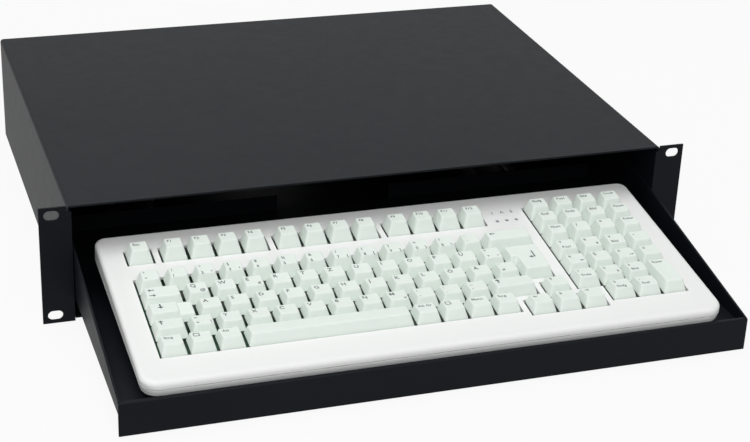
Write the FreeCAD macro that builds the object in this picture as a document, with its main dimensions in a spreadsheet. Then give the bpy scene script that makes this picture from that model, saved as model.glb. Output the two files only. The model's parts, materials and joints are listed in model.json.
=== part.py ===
"""Rack keyboard tray: a two-unit sheet-steel housing with a pull-out tray and its keyboard.

Millimetres and degrees. The origin is the centre of the rack bolt pattern on the front face of
the ears. X points right as seen from the front, Y points back into the rack and Z points up.
The tray is modelled drawn out by tray_drawn, and the keyboard lies in it.
"""
import FreeCAD, Part
import math
import os
import re

import Sketcher

V = FreeCAD.Vector
X_AXIS = V(1, 0, 0)
Y_AXIS = V(0, 1, 0)
Z_AXIS = V(0, 0, 1)
SIDES = {"left": -1, "right": 1}
BALLS_PER_SIDE = 4
BALL_HOLE_SIDES = 8

# Driving dimensions, as alias, value and meaning
SIZES = [
    ("rack_width", 482.6, "width over both ears"),
    ("panel_height", 88.1, "height of the ears, two rack units less the usual clearance"),
    ("ear_reach", 19.3, "width of an ear outside the housing"),
    ("ear_thickness", 1.5, "sheet of the ears"),
    ("ear_leg", 28.0, "length of the ear's leg inside the housing"),
    ("slot_edge_x", 8.75, "ear's outer end to the slot's centre"),
    ("slot_edge_z", 5.95, "ear's upper and lower end to the slot's centre"),
    ("slot_length", 10.5, "rack slot, length"),
    ("slot_width", 7.0, "rack slot, width"),
    ("housing_depth", 338.0, "front face to rear face"),
    ("shell_thickness", 1.5, "sheet of the top and sides"),
    ("bend_radius", 2.5, "outer radius of the housing's top folds"),
    ("base_lift", 2.0, "underside of the housing above the ears' lower ends"),
    ("base_thickness", 1.5, "sheet of the base"),
    ("base_flange", 10.0, "height of the base's side flanges"),
    ("rear_flange", 14.0, "height of the flanges that carry the rear panel"),
    ("rear_thickness", 1.5, "sheet of the rear panel"),
    ("rear_inset", 1.4, "rear panel inside the housing's rear edge"),
    ("cable_slot_width", 70.0, "rear cable cut-out, width"),
    ("cable_slot_height", 24.0, "rear cable cut-out, height"),
    ("fit_gap", 0.2, "play between fixed sheets that slip into each other"),
    ("rail_width", 35.0, "slide, width lying flat"),
    ("rail_height", 12.7, "slide, base to tray floor"),
    ("rail_length", 250.0, "length of each rail"),
    ("rail_spacing", 300.0, "between the centres of the two slides"),
    ("rail_setback", 5.0, "outer rails behind the housing's front"),
    ("rail_wall", 2.2, "thickness of the rails' side walls"),
    ("rail_web", 1.2, "thickness of the rails' webs and lips"),
    ("lip_reach", 3.4, "outer rail's lip, from the rail's outer face"),
    ("lip_gap", 0.8, "outer rail's lip below the tray floor"),
    ("race_gap", 2.6, "between the two rails' side walls"),
    ("ball_radius", 2.0, "slide balls"),
    ("ball_pitch", 14.0, "between slide balls"),
    ("ball_play", 0.2, "round the balls in race and cage"),
    ("cage_thickness", 1.0, "sheet of the ball cages"),
    ("cage_length", 60.0, "length of the ball cages"),
    ("cage_margin", 3.0, "cage to the rail's end with the tray fully drawn"),
    ("run_gap", 0.4, "between slide parts that pass each other"),
    ("open_travel", 32.0, "how much further the tray can be drawn"),
    ("tray_drawn", 155.6, "tray's front face before the housing's front"),
    ("tray_depth", 262.0, "tray, front face to rear edge"),
    ("tray_gap", 0.6, "tray's walls to the ears' legs"),
    ("tray_thickness", 1.5, "sheet of the tray"),
    ("stop_gap", 0.4, "tray front to base with the tray pushed home"),
    ("strip_lift", 0.85, "front strip above the ears' lower ends"),
    ("strip_height", 23.9, "front strip, height"),
    ("hem_height", 5.0, "folded edge inside the top of the front strip"),
    ("wall_slope", 10.6, "rise of the tray's side walls in degrees"),
    ("wall_rise", 38.0, "height of the side walls' level part above the strip"),
    ("front_flange", 12.0, "flange under the tray floor behind the strip"),
    ("rear_upstand", 12.0, "flange at the tray's rear edge"),
    ("cable_notch", 90.0, "gap in the tray's rear flange"),
    ("case_gap", 14.4125, "keyboard to the tray's side walls"),
    ("side_margin", 16.75, "keys to the case's sides"),
    ("key_travel", 4.0, "how far a key goes down"),
    ("key_tilt", 7.4, "slope of the keyboard's upper face in degrees"),
    ("base_tilt", 4.9, "slope of the keyboard's lower face in degrees"),
    ("hem_clearance", 0.5, "keyboard to the front strip"),
    ("foot_height", 3.25, "keyboard's lower front edge above the tray floor"),
    ("front_margin", 25.1, "keys to the case's front"),
    ("row_pitch", 17.46, "from one key row to the next"),
    ("rear_margin", 21.63, "keys to the case's rear"),
    ("front_corner", 12.0, "plan radius of the case's front corners"),
    ("rear_corner", 8.0, "plan radius of the case's rear corners"),
    ("edge_radius", 3.5, "case's upper edge"),
    ("lower_edge_cut", 2.0, "case's lower edge"),
    ("seam_depth", 5.1, "seam below the upper face at the front"),
    ("cover_thickness", 2.2, "wall of the cover's face"),
    ("case_wall", 2.5, "side walls of the case"),
    ("floor_thickness", 2.0, "floor of the case"),
    ("well_margin", 0.35, "key wells beyond the key units"),
    ("inlet_radius", 3.0, "keyboard's cable inlet"),
    ("inlet_offset", 60.0, "keyboard's cable inlet from the middle"),
    ("board_thickness", 1.6, "circuit board"),
    ("board_overlap", 1.0, "circuit board beyond the keys"),
    ("solder_gap", 1.0, "circuit board to the case's floor at the front"),
    ("rib_thickness", 2.0, "ribs that carry the circuit board"),
    ("light_radius", 1.2, "status lights"),
    ("light_play", 0.2, "round a status light in its hole"),
    ("cap_gap", 0.85, "between keycaps one behind the other"),
    ("side_gap", 2.1, "between keycaps side by side"),
    ("skirt_drop", 0.6, "keycap's lower edge below the upper face"),
    ("cap_wall", 1.2, "keycap's side walls"),
    ("cap_top", 1.8, "keycap's top"),
    ("side_draft", 16.0, "slope of a keycap's sides in degrees"),
    ("front_draft", 23.0, "slope of a keycap's front in degrees"),
    ("back_draft", 10.0, "slope of a keycap's back in degrees"),
    ("step_height", 4.2, "lower part of the stepped key"),
    ("row1_height", 9.0, "function and number rows, cap height"),
    ("row2_height", 7.1, "upper letters, cap height"),
    ("row3_height", 6.6, "home letters, cap height"),
    ("row4_height", 6.5, "lower letters and bottom row, cap height"),
    ("row1_tilt", 0.5, "function and number rows, backward slope in degrees"),
    ("row2_tilt", 2.5, "upper letters, backward slope in degrees"),
    ("row3_tilt", 5.0, "home letters, backward slope in degrees"),
    ("row4_tilt", 8.0, "lower letters and bottom row, backward slope in degrees"),
    ("stem_width", 4.6, "keycap's stem"),
    ("stem_play", 0.4, "round the stem in the switch"),
    ("stem_engagement", 2.7, "stem inside the switch at rest"),
    ("press_gap", 0.4, "left under a key pressed home"),
    ("switch_play", 0.9, "switch to the inside of the keycap"),
    ("switch_floor", 0.91, "switch below the stem"),
    ("foot_length", 30.0, "rubber feet, along the front"),
    ("foot_width", 9.0, "rubber feet, front to back"),
    ("foot_setback", 10.0, "rubber feet behind the case's front"),
    ("foot_inset", 45.0, "rubber feet to the case's sides"),
    ("leg_width", 26.0, "tilt feet, width"),
    ("leg_thickness", 5.0, "tilt feet, thickness"),
    ("leg_inset", 92.5, "tilt feet to the case's sides"),
    ("leg_setback", 18.0, "tilt feet before the case's rear"),
    ("axle_radius", 1.6, "tilt feet, axle"),
    ("axle_play", 0.1, "round the axle and beside the tilt feet"),
    ("axle_drop", 3.4, "axle below the case"),
    ("lug_thickness", 3.0, "lugs that hold the axle"),
]
SIZE_NAMES = {name for name, _, _ in SIZES}

# Sizes and places worked out from the driving dimensions
DERIVED = {
    "housing_half": "rack_width / 2 - ear_reach",
    "inner_half": "housing_half - shell_thickness",
    "tray_half": "inner_half - ear_thickness - tray_gap",
    "shell_top": "panel_height / 2",
    "shell_ceiling": "shell_top - shell_thickness",
    "base_bottom": "base_lift - panel_height / 2",
    "base_top": "base_bottom + base_thickness",
    "panel_front": "housing_depth - rear_inset - rear_thickness",
    "floor_bottom": "base_top + rail_height",
    "floor_top": "floor_bottom + tray_thickness",
    "strip_bottom": "strip_lift - panel_height / 2",
    "strip_top": "strip_bottom + strip_height",
    "pan_front": "tray_thickness - tray_drawn",
    "tray_back": "tray_depth - tray_drawn",
    "wall_crest": "strip_top + wall_rise",
    "crest_start": "wall_rise / tan(wall_slope) - tray_drawn",
    "close_travel": "tray_drawn - 2 * tray_thickness - stop_gap",
    "ball_x": "rail_width / 2 - rail_wall - race_gap / 2",
    "ball_z": "rail_height / 2",
    "race_radius": "ball_radius + ball_play",
    "lip_top": "rail_height - lip_gap",
    "cage_bottom": "rail_web + 2 * run_gap",
    "cage_start": "rail_setback + cage_margin + open_travel / 2",
    "inner_rail_half": "rail_width / 2 - rail_wall - race_gap",
    "inner_rail_start": "rail_setback - close_travel",
    "case_half": "tray_half - tray_thickness - case_gap",
    "key_field_half": "case_half - side_margin",
    "key_pitch": "2 * key_field_half / 19.5",
    "cap_reach": "(row_pitch - cap_gap) / 2",
    "switch_half": "cap_reach - cap_wall - switch_play",
    "row1_ceiling": "row1_height - cap_reach * tan(row1_tilt) - cap_top",
    "row2_ceiling": "row2_height - cap_reach * tan(row2_tilt) - cap_top",
    "row3_ceiling": "row3_height - cap_reach * tan(row3_tilt) - cap_top",
    "row4_ceiling": "row4_height - cap_reach * tan(row4_tilt) - cap_top",
    "lowest_ceiling": "min(row1_ceiling; row2_ceiling; row3_ceiling; row4_ceiling)",
    "switch_top": "lowest_ceiling - key_travel - press_gap",
    "stem_end": "switch_top - stem_engagement",
    "socket_end": "stem_end - key_travel - press_gap",
    "board_top": "socket_end - switch_floor",
    "board_bottom": "board_top - board_thickness",
    "case_back": "7 * row_pitch + rear_margin",
    "wedge": "key_tilt - base_tilt",
    "board_setback": "front_margin - board_overlap",
    "front_depth": "solder_gap + floor_thickness - board_bottom - board_setback * tan(wedge)",
    "base_height": "(front_depth - seam_depth) * cos(wedge)",
    "base_depth": "(front_margin + case_back) / cos(wedge)",
    "base_z": "floor_top + foot_height + base_height * cos(base_tilt)",
    "keyboard_y": "2 * tray_thickness - tray_drawn + hem_clearance + front_margin * cos(key_tilt)",
    "keyboard_z": "base_z + front_margin * sin(key_tilt) + seam_depth * cos(key_tilt)",
    "base_y": "keyboard_y - front_margin * cos(key_tilt) + seam_depth * sin(key_tilt)",
    "seam_at_back": "-seam_depth - (front_margin + case_back) * tan(wedge)",
    "leg_y": "base_depth - leg_setback",
    "leg_z": "-base_height - axle_drop",
    "leg_world_y": "base_y + leg_y * cos(base_tilt) - leg_z * sin(base_tilt)",
    "leg_world_z": "base_z + leg_y * sin(base_tilt) + leg_z * cos(base_tilt)",
    "leg_length": "leg_world_z - floor_top",
    "leg_x": "case_half - leg_inset",
}

doc = FreeCAD.newDocument("RackKeyboardTray")
sheet = doc.addObject("Spreadsheet::Sheet", "Sizes")
sub_parts = []


# Spreadsheet and formulas

def fill_sheet():
    """Write each driving dimension to the sheet under its alias."""
    for row, (name, size, meaning) in enumerate(SIZES, start=1):
        sheet.set("A%d" % row, name)
        sheet.set("B%d" % row, str(size))
        sheet.set("C%d" % row, meaning)
        sheet.setAlias("B%d" % row, name)
    doc.recompute()


def formula(text):
    """Turn a formula in plain names into an expression on the sheet's cells."""
    def swap(match):
        word = match.group(0)
        if word in DERIVED:
            return "(" + formula(DERIVED[word]) + ")"
        return "Sizes." + word if word in SIZE_NAMES else word
    return re.sub(r"[a-z][a-z_0-9]*", swap, text)


def number(text):
    """Work out a formula's present value."""
    return float(sheet.evalExpression(formula(text)))


def bind(thing, **formulas):
    """Tie an object's properties to formulas."""
    for name, text in formulas.items():
        thing.setExpression(name, formula(text))


def place(thing, x="0", y="0", z="0", axis=None, angle="0"):
    """Tie an object's place, and its turn about an axis, to formulas."""
    if axis is not None:
        thing.Placement = FreeCAD.Placement(V(), FreeCAD.Rotation(axis, 1))
        thing.setExpression("Placement.Rotation.Angle", formula(angle))
    for letter, text in zip("xyz", (x, y, z)):
        thing.setExpression("Placement.Base." + letter, formula(text))


def on_keyboard(thing):
    """Place an object drawn in the frame of the keyboard's upper face."""
    place(thing, y="keyboard_y", z="keyboard_z", axis=X_AXIS, angle="key_tilt")


def on_case_floor(thing):
    """Place an object drawn in the frame of the keyboard's seam, at its front edge."""
    place(thing, y="base_y", z="base_z", axis=X_AXIS, angle="base_tilt")


# Sketches and features

def new_body(label):
    """Start a sub-part that is made by sketches and features."""
    body = doc.addObject("PartDesign::Body", label)
    body.Label = label
    sub_parts.append(body)
    return body


def sketch_on(body, plane, name, offset="0"):
    """Start a sketch on one of the body's own planes, or a distance along its normal."""
    sketch = body.newObject("Sketcher::SketchObject", body.Label + "_" + name)
    support = next(item for item in body.Origin.OriginFeatures if item.Role == plane)
    sketch.AttachmentSupport = [(support, "")]
    sketch.MapMode = "FlatFace"
    sketch.setExpression("AttachmentOffset.Base.z", formula(offset))
    return sketch


def pin(sketch, kind, line, point, text):
    """Hold one coordinate of a sketch point by a formula."""
    index = sketch.addConstraint(Sketcher.Constraint(kind, -1, 1, line, point, number(text)))
    sketch.setExpression("Constraints[%d]" % index, formula(text))


def size(sketch, kind, line, text):
    """Hold a radius by a formula."""
    index = sketch.addConstraint(Sketcher.Constraint(kind, line, number(text)))
    sketch.setExpression("Constraints[%d]" % index, formula(text))


def polygon(sketch, corners):
    """Add a closed outline of straight lines through corners given as formulas."""
    first = sketch.GeometryCount
    count = len(corners)
    places = [V(number(x), number(y), 0) for x, y in corners]
    for start, end in zip(places, places[1:] + places[:1]):
        sketch.addGeometry(Part.LineSegment(start, end))
    for index, (x, y) in enumerate(corners):
        line = first + index
        following = first + (index + 1) % count
        sketch.addConstraint(Sketcher.Constraint("Coincident", line, 2, following, 1))
        pin(sketch, "DistanceX", line, 1, x)
        pin(sketch, "DistanceY", line, 1, y)


def rectangle(sketch, x0, x1, y0, y1):
    """Add a rectangle between formulas."""
    polygon(sketch, [(x0, y0), (x1, y0), (x1, y1), (x0, y1)])


def many_sided(sketch, x, y, radius, sides):
    """Add a regular outline that lies round a circle."""
    reach = "(%s) / cos(180 / %d)" % (radius, sides)
    corners = []
    for index in range(sides):
        angle = "(360 * %g / %d)" % (index + 0.5, sides)
        corners.append(("%s + %s * cos(%s)" % (x, reach, angle), "%s + %s * sin(%s)" % (y, reach, angle)))
    polygon(sketch, corners)


def obround(sketch, x, y, length, width):
    """Add a slot with round ends, lying along the sketch's first axis."""
    first = sketch.GeometryCount
    radius = number(width) / 2
    reach = number(length) / 2 - radius
    middle = V(number(x), number(y), 0)
    ends = [(1, -math.pi / 2, math.pi / 2), (-1, math.pi / 2, 3 * math.pi / 2)]
    for sign, start, end in ends:
        round_end = Part.Circle(middle + V(sign * reach, 0, 0), Z_AXIS, radius)
        sketch.addGeometry(Part.ArcOfCircle(round_end, start, end))
    for sign in (1, -1):
        right = middle + V(sign * reach, sign * radius, 0)
        left = middle + V(-sign * reach, sign * radius, 0)
        sketch.addGeometry(Part.LineSegment(right, left))
    for before, after in ((0, 2), (2, 1), (1, 3), (3, 0)):
        sketch.addConstraint(Sketcher.Constraint("Tangent", first + before, 2, first + after, 1))
    for index, (sign, _, _) in enumerate(ends):
        pin(sketch, "DistanceX", first + index, 3, "%s + %d * (%s - %s) / 2" % (x, sign, length, width))
    pin(sketch, "DistanceY", first, 3, y)
    size(sketch, "Radius", first, width + " / 2")
    sketch.addConstraint(Sketcher.Constraint("Equal", first, first + 1))


def pad(sketch, length, backward=False, symmetric=False):
    """Add material from a sketch."""
    body = sketch.getParentGeoFeatureGroup()
    feature = body.newObject("PartDesign::Pad", sketch.Name + "_pad")
    return set_extent(feature, sketch, length, backward, symmetric)


def pocket(sketch, length, backward=False, symmetric=False):
    """Take material away by a sketch."""
    body = sketch.getParentGeoFeatureGroup()
    feature = body.newObject("PartDesign::Pocket", sketch.Name + "_pocket")
    return set_extent(feature, sketch, length, backward, symmetric)


def set_extent(feature, sketch, length, backward, symmetric):
    """Give a pad or pocket its profile, length and direction."""
    feature.Profile = sketch
    feature.Reversed = backward
    if symmetric:
        feature.SideType = "Symmetric"
    bind(feature, Length=length)
    return feature


def fillet(body, name, radius, wanted):
    """Round the edges of a body that pass a test."""
    doc.recompute()
    base = body.Tip
    edges = ["Edge%d" % index for index, edge in enumerate(base.Shape.Edges, 1) if wanted(edge)]
    feature = body.newObject("PartDesign::Fillet", body.Label + "_" + name)
    feature.Base = (base, edges)
    bind(feature, Radius=radius)
    return feature


def chamfer(body, name, length, wanted):
    """Take off the edges of a body that pass a test."""
    doc.recompute()
    base = body.Tip
    edges = ["Edge%d" % index for index, edge in enumerate(base.Shape.Edges, 1) if wanted(edge)]
    feature = body.newObject("PartDesign::Chamfer", body.Label + "_" + name)
    feature.Base = (base, edges)
    bind(feature, Size=length)
    return feature


def runs_along(edge, axis):
    """Tell whether an edge is straight and parallel to an axis."""
    along = edge.Vertexes[-1].Point - edge.Vertexes[0].Point
    return isinstance(edge.Curve, Part.Line) and along.cross(axis).Length < 1e-6 * along.Length


def near(value, text):
    """Tell whether a measured value equals a formula."""
    return abs(value - number(text)) < 1e-4


def solid_in(body, kind, name, **formulas):
    """Add or take away a primitive solid inside a body."""
    feature = body.newObject("PartDesign::" + kind, body.Label + "_" + name)
    bind(feature, **formulas)
    return feature


# Part primitives and shapes

def shape_part(label, solids):
    """Make a sub-part from solids worked out in code, to be placed afterwards."""
    feature = doc.addObject("Part::Feature", label)
    feature.Label = label
    feature.Shape = solids[0] if len(solids) == 1 else Part.makeCompound(solids)
    sub_parts.append(feature)
    return feature


def box(name, **formulas):
    """Make a block."""
    block = doc.addObject("Part::Box", name)
    bind(block, **formulas)
    return block


def group(label, pieces):
    """Make a sub-part of several like solids."""
    together = doc.addObject("Part::Compound", label)
    together.Label = label
    together.Links = pieces
    sub_parts.append(together)
    return together


# Housing

def housing_shell():
    """Fold the top and sides from one sheet, with a flange at the rear of the top."""
    body = new_body("housing_shell")
    profile = sketch_on(body, "XZ_Plane", "profile")
    polygon(profile, [
        ("-housing_half", "base_bottom"), ("-inner_half", "base_bottom"),
        ("-inner_half", "shell_ceiling"), ("inner_half", "shell_ceiling"),
        ("inner_half", "base_bottom"), ("housing_half", "base_bottom"),
        ("housing_half", "shell_top"), ("-housing_half", "shell_top")])
    pad(profile, "housing_depth", backward=True)
    outer = fillet(body, "outer_bend", "bend_radius", lambda edge: (
        runs_along(edge, Y_AXIS) and near(abs(edge.CenterOfMass.x), "housing_half")
        and near(edge.CenterOfMass.z, "shell_top")))
    body.Tip = outer
    fillet(body, "inner_bend", "bend_radius - shell_thickness", lambda edge: (
        runs_along(edge, Y_AXIS) and near(abs(edge.CenterOfMass.x), "inner_half")
        and near(edge.CenterOfMass.z, "shell_ceiling")))
    ears = sketch_on(body, "XZ_Plane", "ear_clearance")
    for sign in SIDES.values():
        rectangle(ears, "%d * (inner_half - fit_gap)" % sign, "%d * (housing_half + fit_gap)" % sign,
                  "base_bottom - fit_gap", "shell_ceiling - bend_radius")
    pocket(ears, "ear_thickness")
    flange = sketch_on(body, "XZ_Plane", "rear_flange", "-panel_front")
    rectangle(flange, "-(inner_half - bend_radius)", "inner_half - bend_radius",
              "shell_ceiling - rear_flange", "shell_ceiling")
    pad(flange, "shell_thickness")


def rack_ear(side, sign):
    """Bend an ear from sheet: the slotted front and a leg inside the housing's side."""
    body = new_body(side + "_rack_ear")
    leg = "%d * (inner_half - ear_thickness)" % sign
    plan = sketch_on(body, "XY_Plane", "plan")
    polygon(plan, [
        ("%d * rack_width / 2" % sign, "0"), (leg, "0"), (leg, "ear_leg"),
        ("%d * inner_half" % sign, "ear_leg"), ("%d * inner_half" % sign, "ear_thickness"),
        ("%d * rack_width / 2" % sign, "ear_thickness")])
    pad(plan, "panel_height", symmetric=True)
    relief = sketch_on(body, "XZ_Plane", "relief")
    rectangle(relief, "%d * (inner_half - 2 * ear_thickness)" % sign, "%d * (housing_half + fit_gap)" % sign,
              "shell_ceiling - bend_radius", "shell_top + ear_thickness")
    pocket(relief, "2 * ear_leg")
    heel = sketch_on(body, "YZ_Plane", "heel", "%d * inner_half" % sign)
    rectangle(heel, "ear_thickness", "ear_leg + ear_thickness", "-shell_top - ear_thickness", "base_top")
    pocket(heel, "4 * ear_thickness", symmetric=True)
    slots = sketch_on(body, "XZ_Plane", "slots")
    for end in (-1, 1):
        obround(slots, "%d * (rack_width / 2 - slot_edge_x)" % sign,
                "%d * (panel_height / 2 - slot_edge_z)" % end, "slot_length", "slot_width")
    pocket(slots, "4 * ear_thickness", symmetric=True)


def base_plate():
    """Fold the base: a flat sheet with side flanges and a flange that carries the rear panel."""
    body = new_body("base_plate")
    notch_x = "(inner_half - ear_thickness - fit_gap)"
    notch_y = "ear_thickness + fit_gap"
    plan = sketch_on(body, "XY_Plane", "plan", "base_bottom")
    polygon(plan, [
        ("-" + notch_x, "0"), (notch_x, "0"), (notch_x, notch_y), ("inner_half", notch_y),
        ("inner_half", "panel_front"), ("-inner_half", "panel_front"), ("-inner_half", notch_y),
        ("-" + notch_x, notch_y)])
    pad(plan, "base_thickness")
    rims = sketch_on(body, "XY_Plane", "side_flanges", "base_top")
    for sign in SIDES.values():
        rectangle(rims, "%d * (inner_half - base_thickness)" % sign, "%d * inner_half" % sign,
                  "ear_leg + 2 * fit_gap", "panel_front")
    pad(rims, "base_flange - base_thickness")
    flange = sketch_on(body, "XZ_Plane", "rear_flange", "-panel_front")
    rectangle(flange, "-inner_half", "inner_half", "base_bottom", "base_bottom + rear_flange")
    pad(flange, "base_thickness")


def rear_panel():
    """Close the rear with a plate that has a cut-out for the keyboard's cable."""
    body = new_body("rear_panel")
    face = sketch_on(body, "XZ_Plane", "face", "-panel_front")
    rectangle(face, "-(inner_half - fit_gap)", "inner_half - fit_gap",
              "base_bottom", "shell_ceiling - fit_gap")
    pad(face, "rear_thickness", backward=True)
    fillet(body, "corners", "bend_radius", lambda edge: (
        runs_along(edge, Y_AXIS) and edge.CenterOfMass.z > 0))
    cable = sketch_on(body, "XZ_Plane", "cable_slot", "-panel_front")
    obround(cable, "0", "0", "cable_slot_width", "cable_slot_height")
    pocket(cable, "4 * rear_thickness", symmetric=True)


# Ball slides, lying flat between base and tray

def race(body, x):
    """Roll the balls' track into a rail."""
    track = solid_in(body, "SubtractiveCylinder", "race_%s" % ("right" if x > 0 else "left"),
                     Radius="race_radius", Height="rail_length")
    place(track, "%d * ball_x" % x, "rail_length", "ball_z", X_AXIS, "90")


def outer_rail(side, sign):
    """Roll the fixed rail: a channel with lips, open at the top."""
    body = new_body(side + "_outer_rail")
    half, wall, lip = "rail_width / 2", "rail_width / 2 - rail_wall", "rail_width / 2 - lip_reach"
    under = "lip_top - rail_web"
    right = [
        (half, "0"), (half, "lip_top"), (lip, "lip_top"),
        (lip, under), (wall, under), (wall, "rail_web")]
    left = [("-(%s)" % x, z) for x, z in reversed(right)]
    profile = sketch_on(body, "XZ_Plane", "profile")
    polygon(profile, right + left)
    pad(profile, "rail_length", backward=True)
    for x in SIDES.values():
        race(body, x)
    place(body, "%d * rail_spacing / 2" % sign, "rail_setback", "base_top")


def inner_rail(side, sign):
    """Roll the moving rail: a narrower channel, open at the bottom."""
    body = new_body(side + "_inner_rail")
    half, wall = "inner_rail_half", "inner_rail_half - rail_wall"
    foot, under = "cage_bottom + cage_thickness + run_gap", "rail_height - rail_web"
    right = [(half, "rail_height"), (half, foot), (wall, foot), (wall, under)]
    left = [("-(%s)" % x, z) for x, z in reversed(right)]
    profile = sketch_on(body, "XZ_Plane", "profile")
    polygon(profile, right + left)
    pad(profile, "rail_length", backward=True)
    for x in SIDES.values():
        race(body, x)
    place(body, "%d * rail_spacing / 2" % sign, "inner_rail_start", "base_top")


def ball_places():
    """List the balls' places along a cage."""
    margin = "(cage_length - %d * ball_pitch) / 2" % (BALLS_PER_SIDE - 1)
    return ["%s + %d * ball_pitch" % (margin, index) for index in range(BALLS_PER_SIDE)]


def ball_cage(side, sign):
    """Press the cage that keeps a slide's balls apart."""
    body = new_body(side + "_ball_cage")
    outer, inner = "ball_x + cage_thickness / 2", "ball_x - cage_thickness / 2"
    top, web_top = "lip_top - rail_web - 2 * run_gap", "cage_bottom + cage_thickness"
    right = [(outer, "cage_bottom"), (outer, top), (inner, top), (inner, web_top)]
    left = [("-(%s)" % x, z) for x, z in reversed(right)]
    profile = sketch_on(body, "XZ_Plane", "profile")
    polygon(profile, right + left)
    pad(profile, "cage_length", backward=True)
    holes = sketch_on(body, "YZ_Plane", "ball_holes")
    for y in ball_places():
        many_sided(holes, y, "ball_z", "race_radius", BALL_HOLE_SIDES)
    pocket(holes, "2 * rail_width", symmetric=True)
    place(body, "%d * rail_spacing / 2" % sign, "cage_start", "base_top")


def faceted_ball(radius):
    """Make a ball from flat faces, with its corners on rings round Z."""
    rings = []
    for latitude in (-67.5, -22.5, 22.5, 67.5):
        around = radius * math.cos(math.radians(latitude))
        height = radius * math.sin(math.radians(latitude))
        turns = [math.radians(45 * index) for index in range(8)]
        rings.append([V(around * math.cos(turn), around * math.sin(turn), height) for turn in turns])
    outlines = [rings[0], rings[-1]]
    for low, high in zip(rings, rings[1:]):
        outlines += [[low[i - 1], low[i], high[i], high[i - 1]] for i in range(8)]
    faces = [Part.Face(Part.makePolygon(corners + corners[:1])) for corners in outlines]
    ball = Part.makeSolid(Part.makeShell(faces))
    if ball.Volume < 0:
        ball.reverse()
    return ball


def rail_balls(side, sign):
    """Set the balls into a slide."""
    ball = faceted_ball(number("ball_radius"))
    balls = []
    for x in SIDES.values():
        for y in ball_places():
            balls.append(ball.translated(V(number("%d * ball_x" % x), number(y), number("ball_z"))))
    feature = shape_part(side + "_rail_balls", balls)
    place(feature, "%d * rail_spacing / 2" % sign, "cage_start", "base_top")


# Tray

def tray_pan():
    """Fold the pan: floor, side walls that fall towards the front, front and rear flanges."""
    body = new_body("tray_pan")
    inside = "tray_half - tray_thickness"
    profile = sketch_on(body, "XZ_Plane", "profile", "-pan_front")
    polygon(profile, [
        ("-tray_half", "floor_bottom"), ("tray_half", "floor_bottom"), ("tray_half", "wall_crest"),
        (inside, "wall_crest"), (inside, "floor_top"), ("-(%s)" % inside, "floor_top"),
        ("-(%s)" % inside, "wall_crest"), ("-tray_half", "wall_crest")])
    pad(profile, "tray_depth - tray_thickness", backward=True)
    above = "wall_crest + wall_rise"
    slope = sketch_on(body, "YZ_Plane", "wall_slope")
    polygon(slope, [
        ("-tray_drawn", "strip_top"), ("crest_start", "wall_crest"),
        ("crest_start", above), ("-tray_drawn", above)])
    pocket(slope, "3 * tray_half", symmetric=True)
    front = sketch_on(body, "XY_Plane", "front_flange", "floor_bottom")
    rectangle(front, "-(%s)" % inside, inside, "pan_front", "pan_front + tray_thickness")
    pad(front, "front_flange", backward=True)
    rear = sketch_on(body, "XY_Plane", "rear_upstand", "floor_top")
    for sign in SIDES.values():
        rectangle(rear, "%d * cable_notch / 2" % sign, "%d * (%s)" % (sign, inside),
                  "tray_back - tray_thickness", "tray_back")
    pad(rear, "rear_upstand")


def tray_front():
    """Make the front strip, with its top edge folded back inside."""
    body = new_body("tray_front")
    plate = sketch_on(body, "XZ_Plane", "plate", "tray_drawn")
    rectangle(plate, "-tray_half", "tray_half", "strip_bottom", "strip_top")
    pad(plate, "tray_thickness", backward=True)
    inside = "tray_half - tray_thickness - fit_gap"
    hem = sketch_on(body, "XZ_Plane", "hem", "-pan_front")
    rectangle(hem, "-(%s)" % inside, inside, "strip_top - hem_height", "strip_top")
    pad(hem, "tray_thickness", backward=True)
    fillet(body, "fold", "0.9 * tray_thickness", lambda edge: (
        runs_along(edge, X_AXIS) and near(edge.CenterOfMass.z, "strip_top")
        and near(edge.CenterOfMass.y, "-tray_drawn")))


# Keyboard case

def unit_x(units):
    """Give the place of a key column, counted in key units from the left."""
    return "%s * key_pitch - key_field_half" % units


def unit_y(units):
    """Give the place of a key row, counted in rows from the front."""
    return "%s * row_pitch" % units


WELLS = [
    [(0, 6), (1, 6), (1, 7), (0, 7)],
    [(1.25, 6), (5.25, 6), (5.25, 7), (1.25, 7)],
    [(5.5, 6), (9.5, 6), (9.5, 7), (5.5, 7)],
    [(9.75, 6), (13.75, 6), (13.75, 7), (9.75, 7)],
    [(0, 0), (13, 0), (13, 1), (14, 1), (14, 2), (15, 2), (15, 5), (0, 5)],
    [(13.25, -0.3), (16.25, -0.3), (16.25, 0.7), (15.25, 0.7),
     (15.25, 1.7), (14.25, 1.7), (14.25, 0.7), (13.25, 0.7)],
    [(16.5, 0), (19.5, 0), (19.5, 7), (15.5, 7), (15.5, 1), (16.5, 1)],
]
LIGHT_PLACES = ((14.24, 6.24), (14.63, 6.24), (15.02, 6.24))
RIB_ROWS = (0.5, 3.5, 6.5)
LIGHT_SIDES = 12


def well_corners(corners):
    """Move a well's corners outwards by the margin round the keys."""
    moved = []
    count = len(corners)
    for index, (u, v) in enumerate(corners):
        before, after = corners[index - 1], corners[(index + 1) % count]
        along = (after[0] - before[0], after[1] - before[1])
        side = 1 if along[1] > 0 else -1
        rise = -1 if along[0] > 0 else 1
        moved.append((unit_x(u) + " + %d * well_margin" % side, unit_y(v) + " + %d * well_margin" % rise))
    return moved


def case_outline(sketch, half, front, back, front_cut="0", rear_cut="0"):
    """Add the case's plan, with its corners cut off where a wall inside follows the corner radius."""
    if front_cut == "0":
        rectangle(sketch, "-(%s)" % half, half, front, back)
        return
    right = [
        ("%s - (%s)" % (half, front_cut), front), (half, "%s + %s" % (front, front_cut)),
        (half, "%s - (%s)" % (back, rear_cut)), ("%s - (%s)" % (half, rear_cut), back)]
    polygon(sketch, right + [("-(%s)" % x, y) for x, y in reversed(right)])


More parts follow.
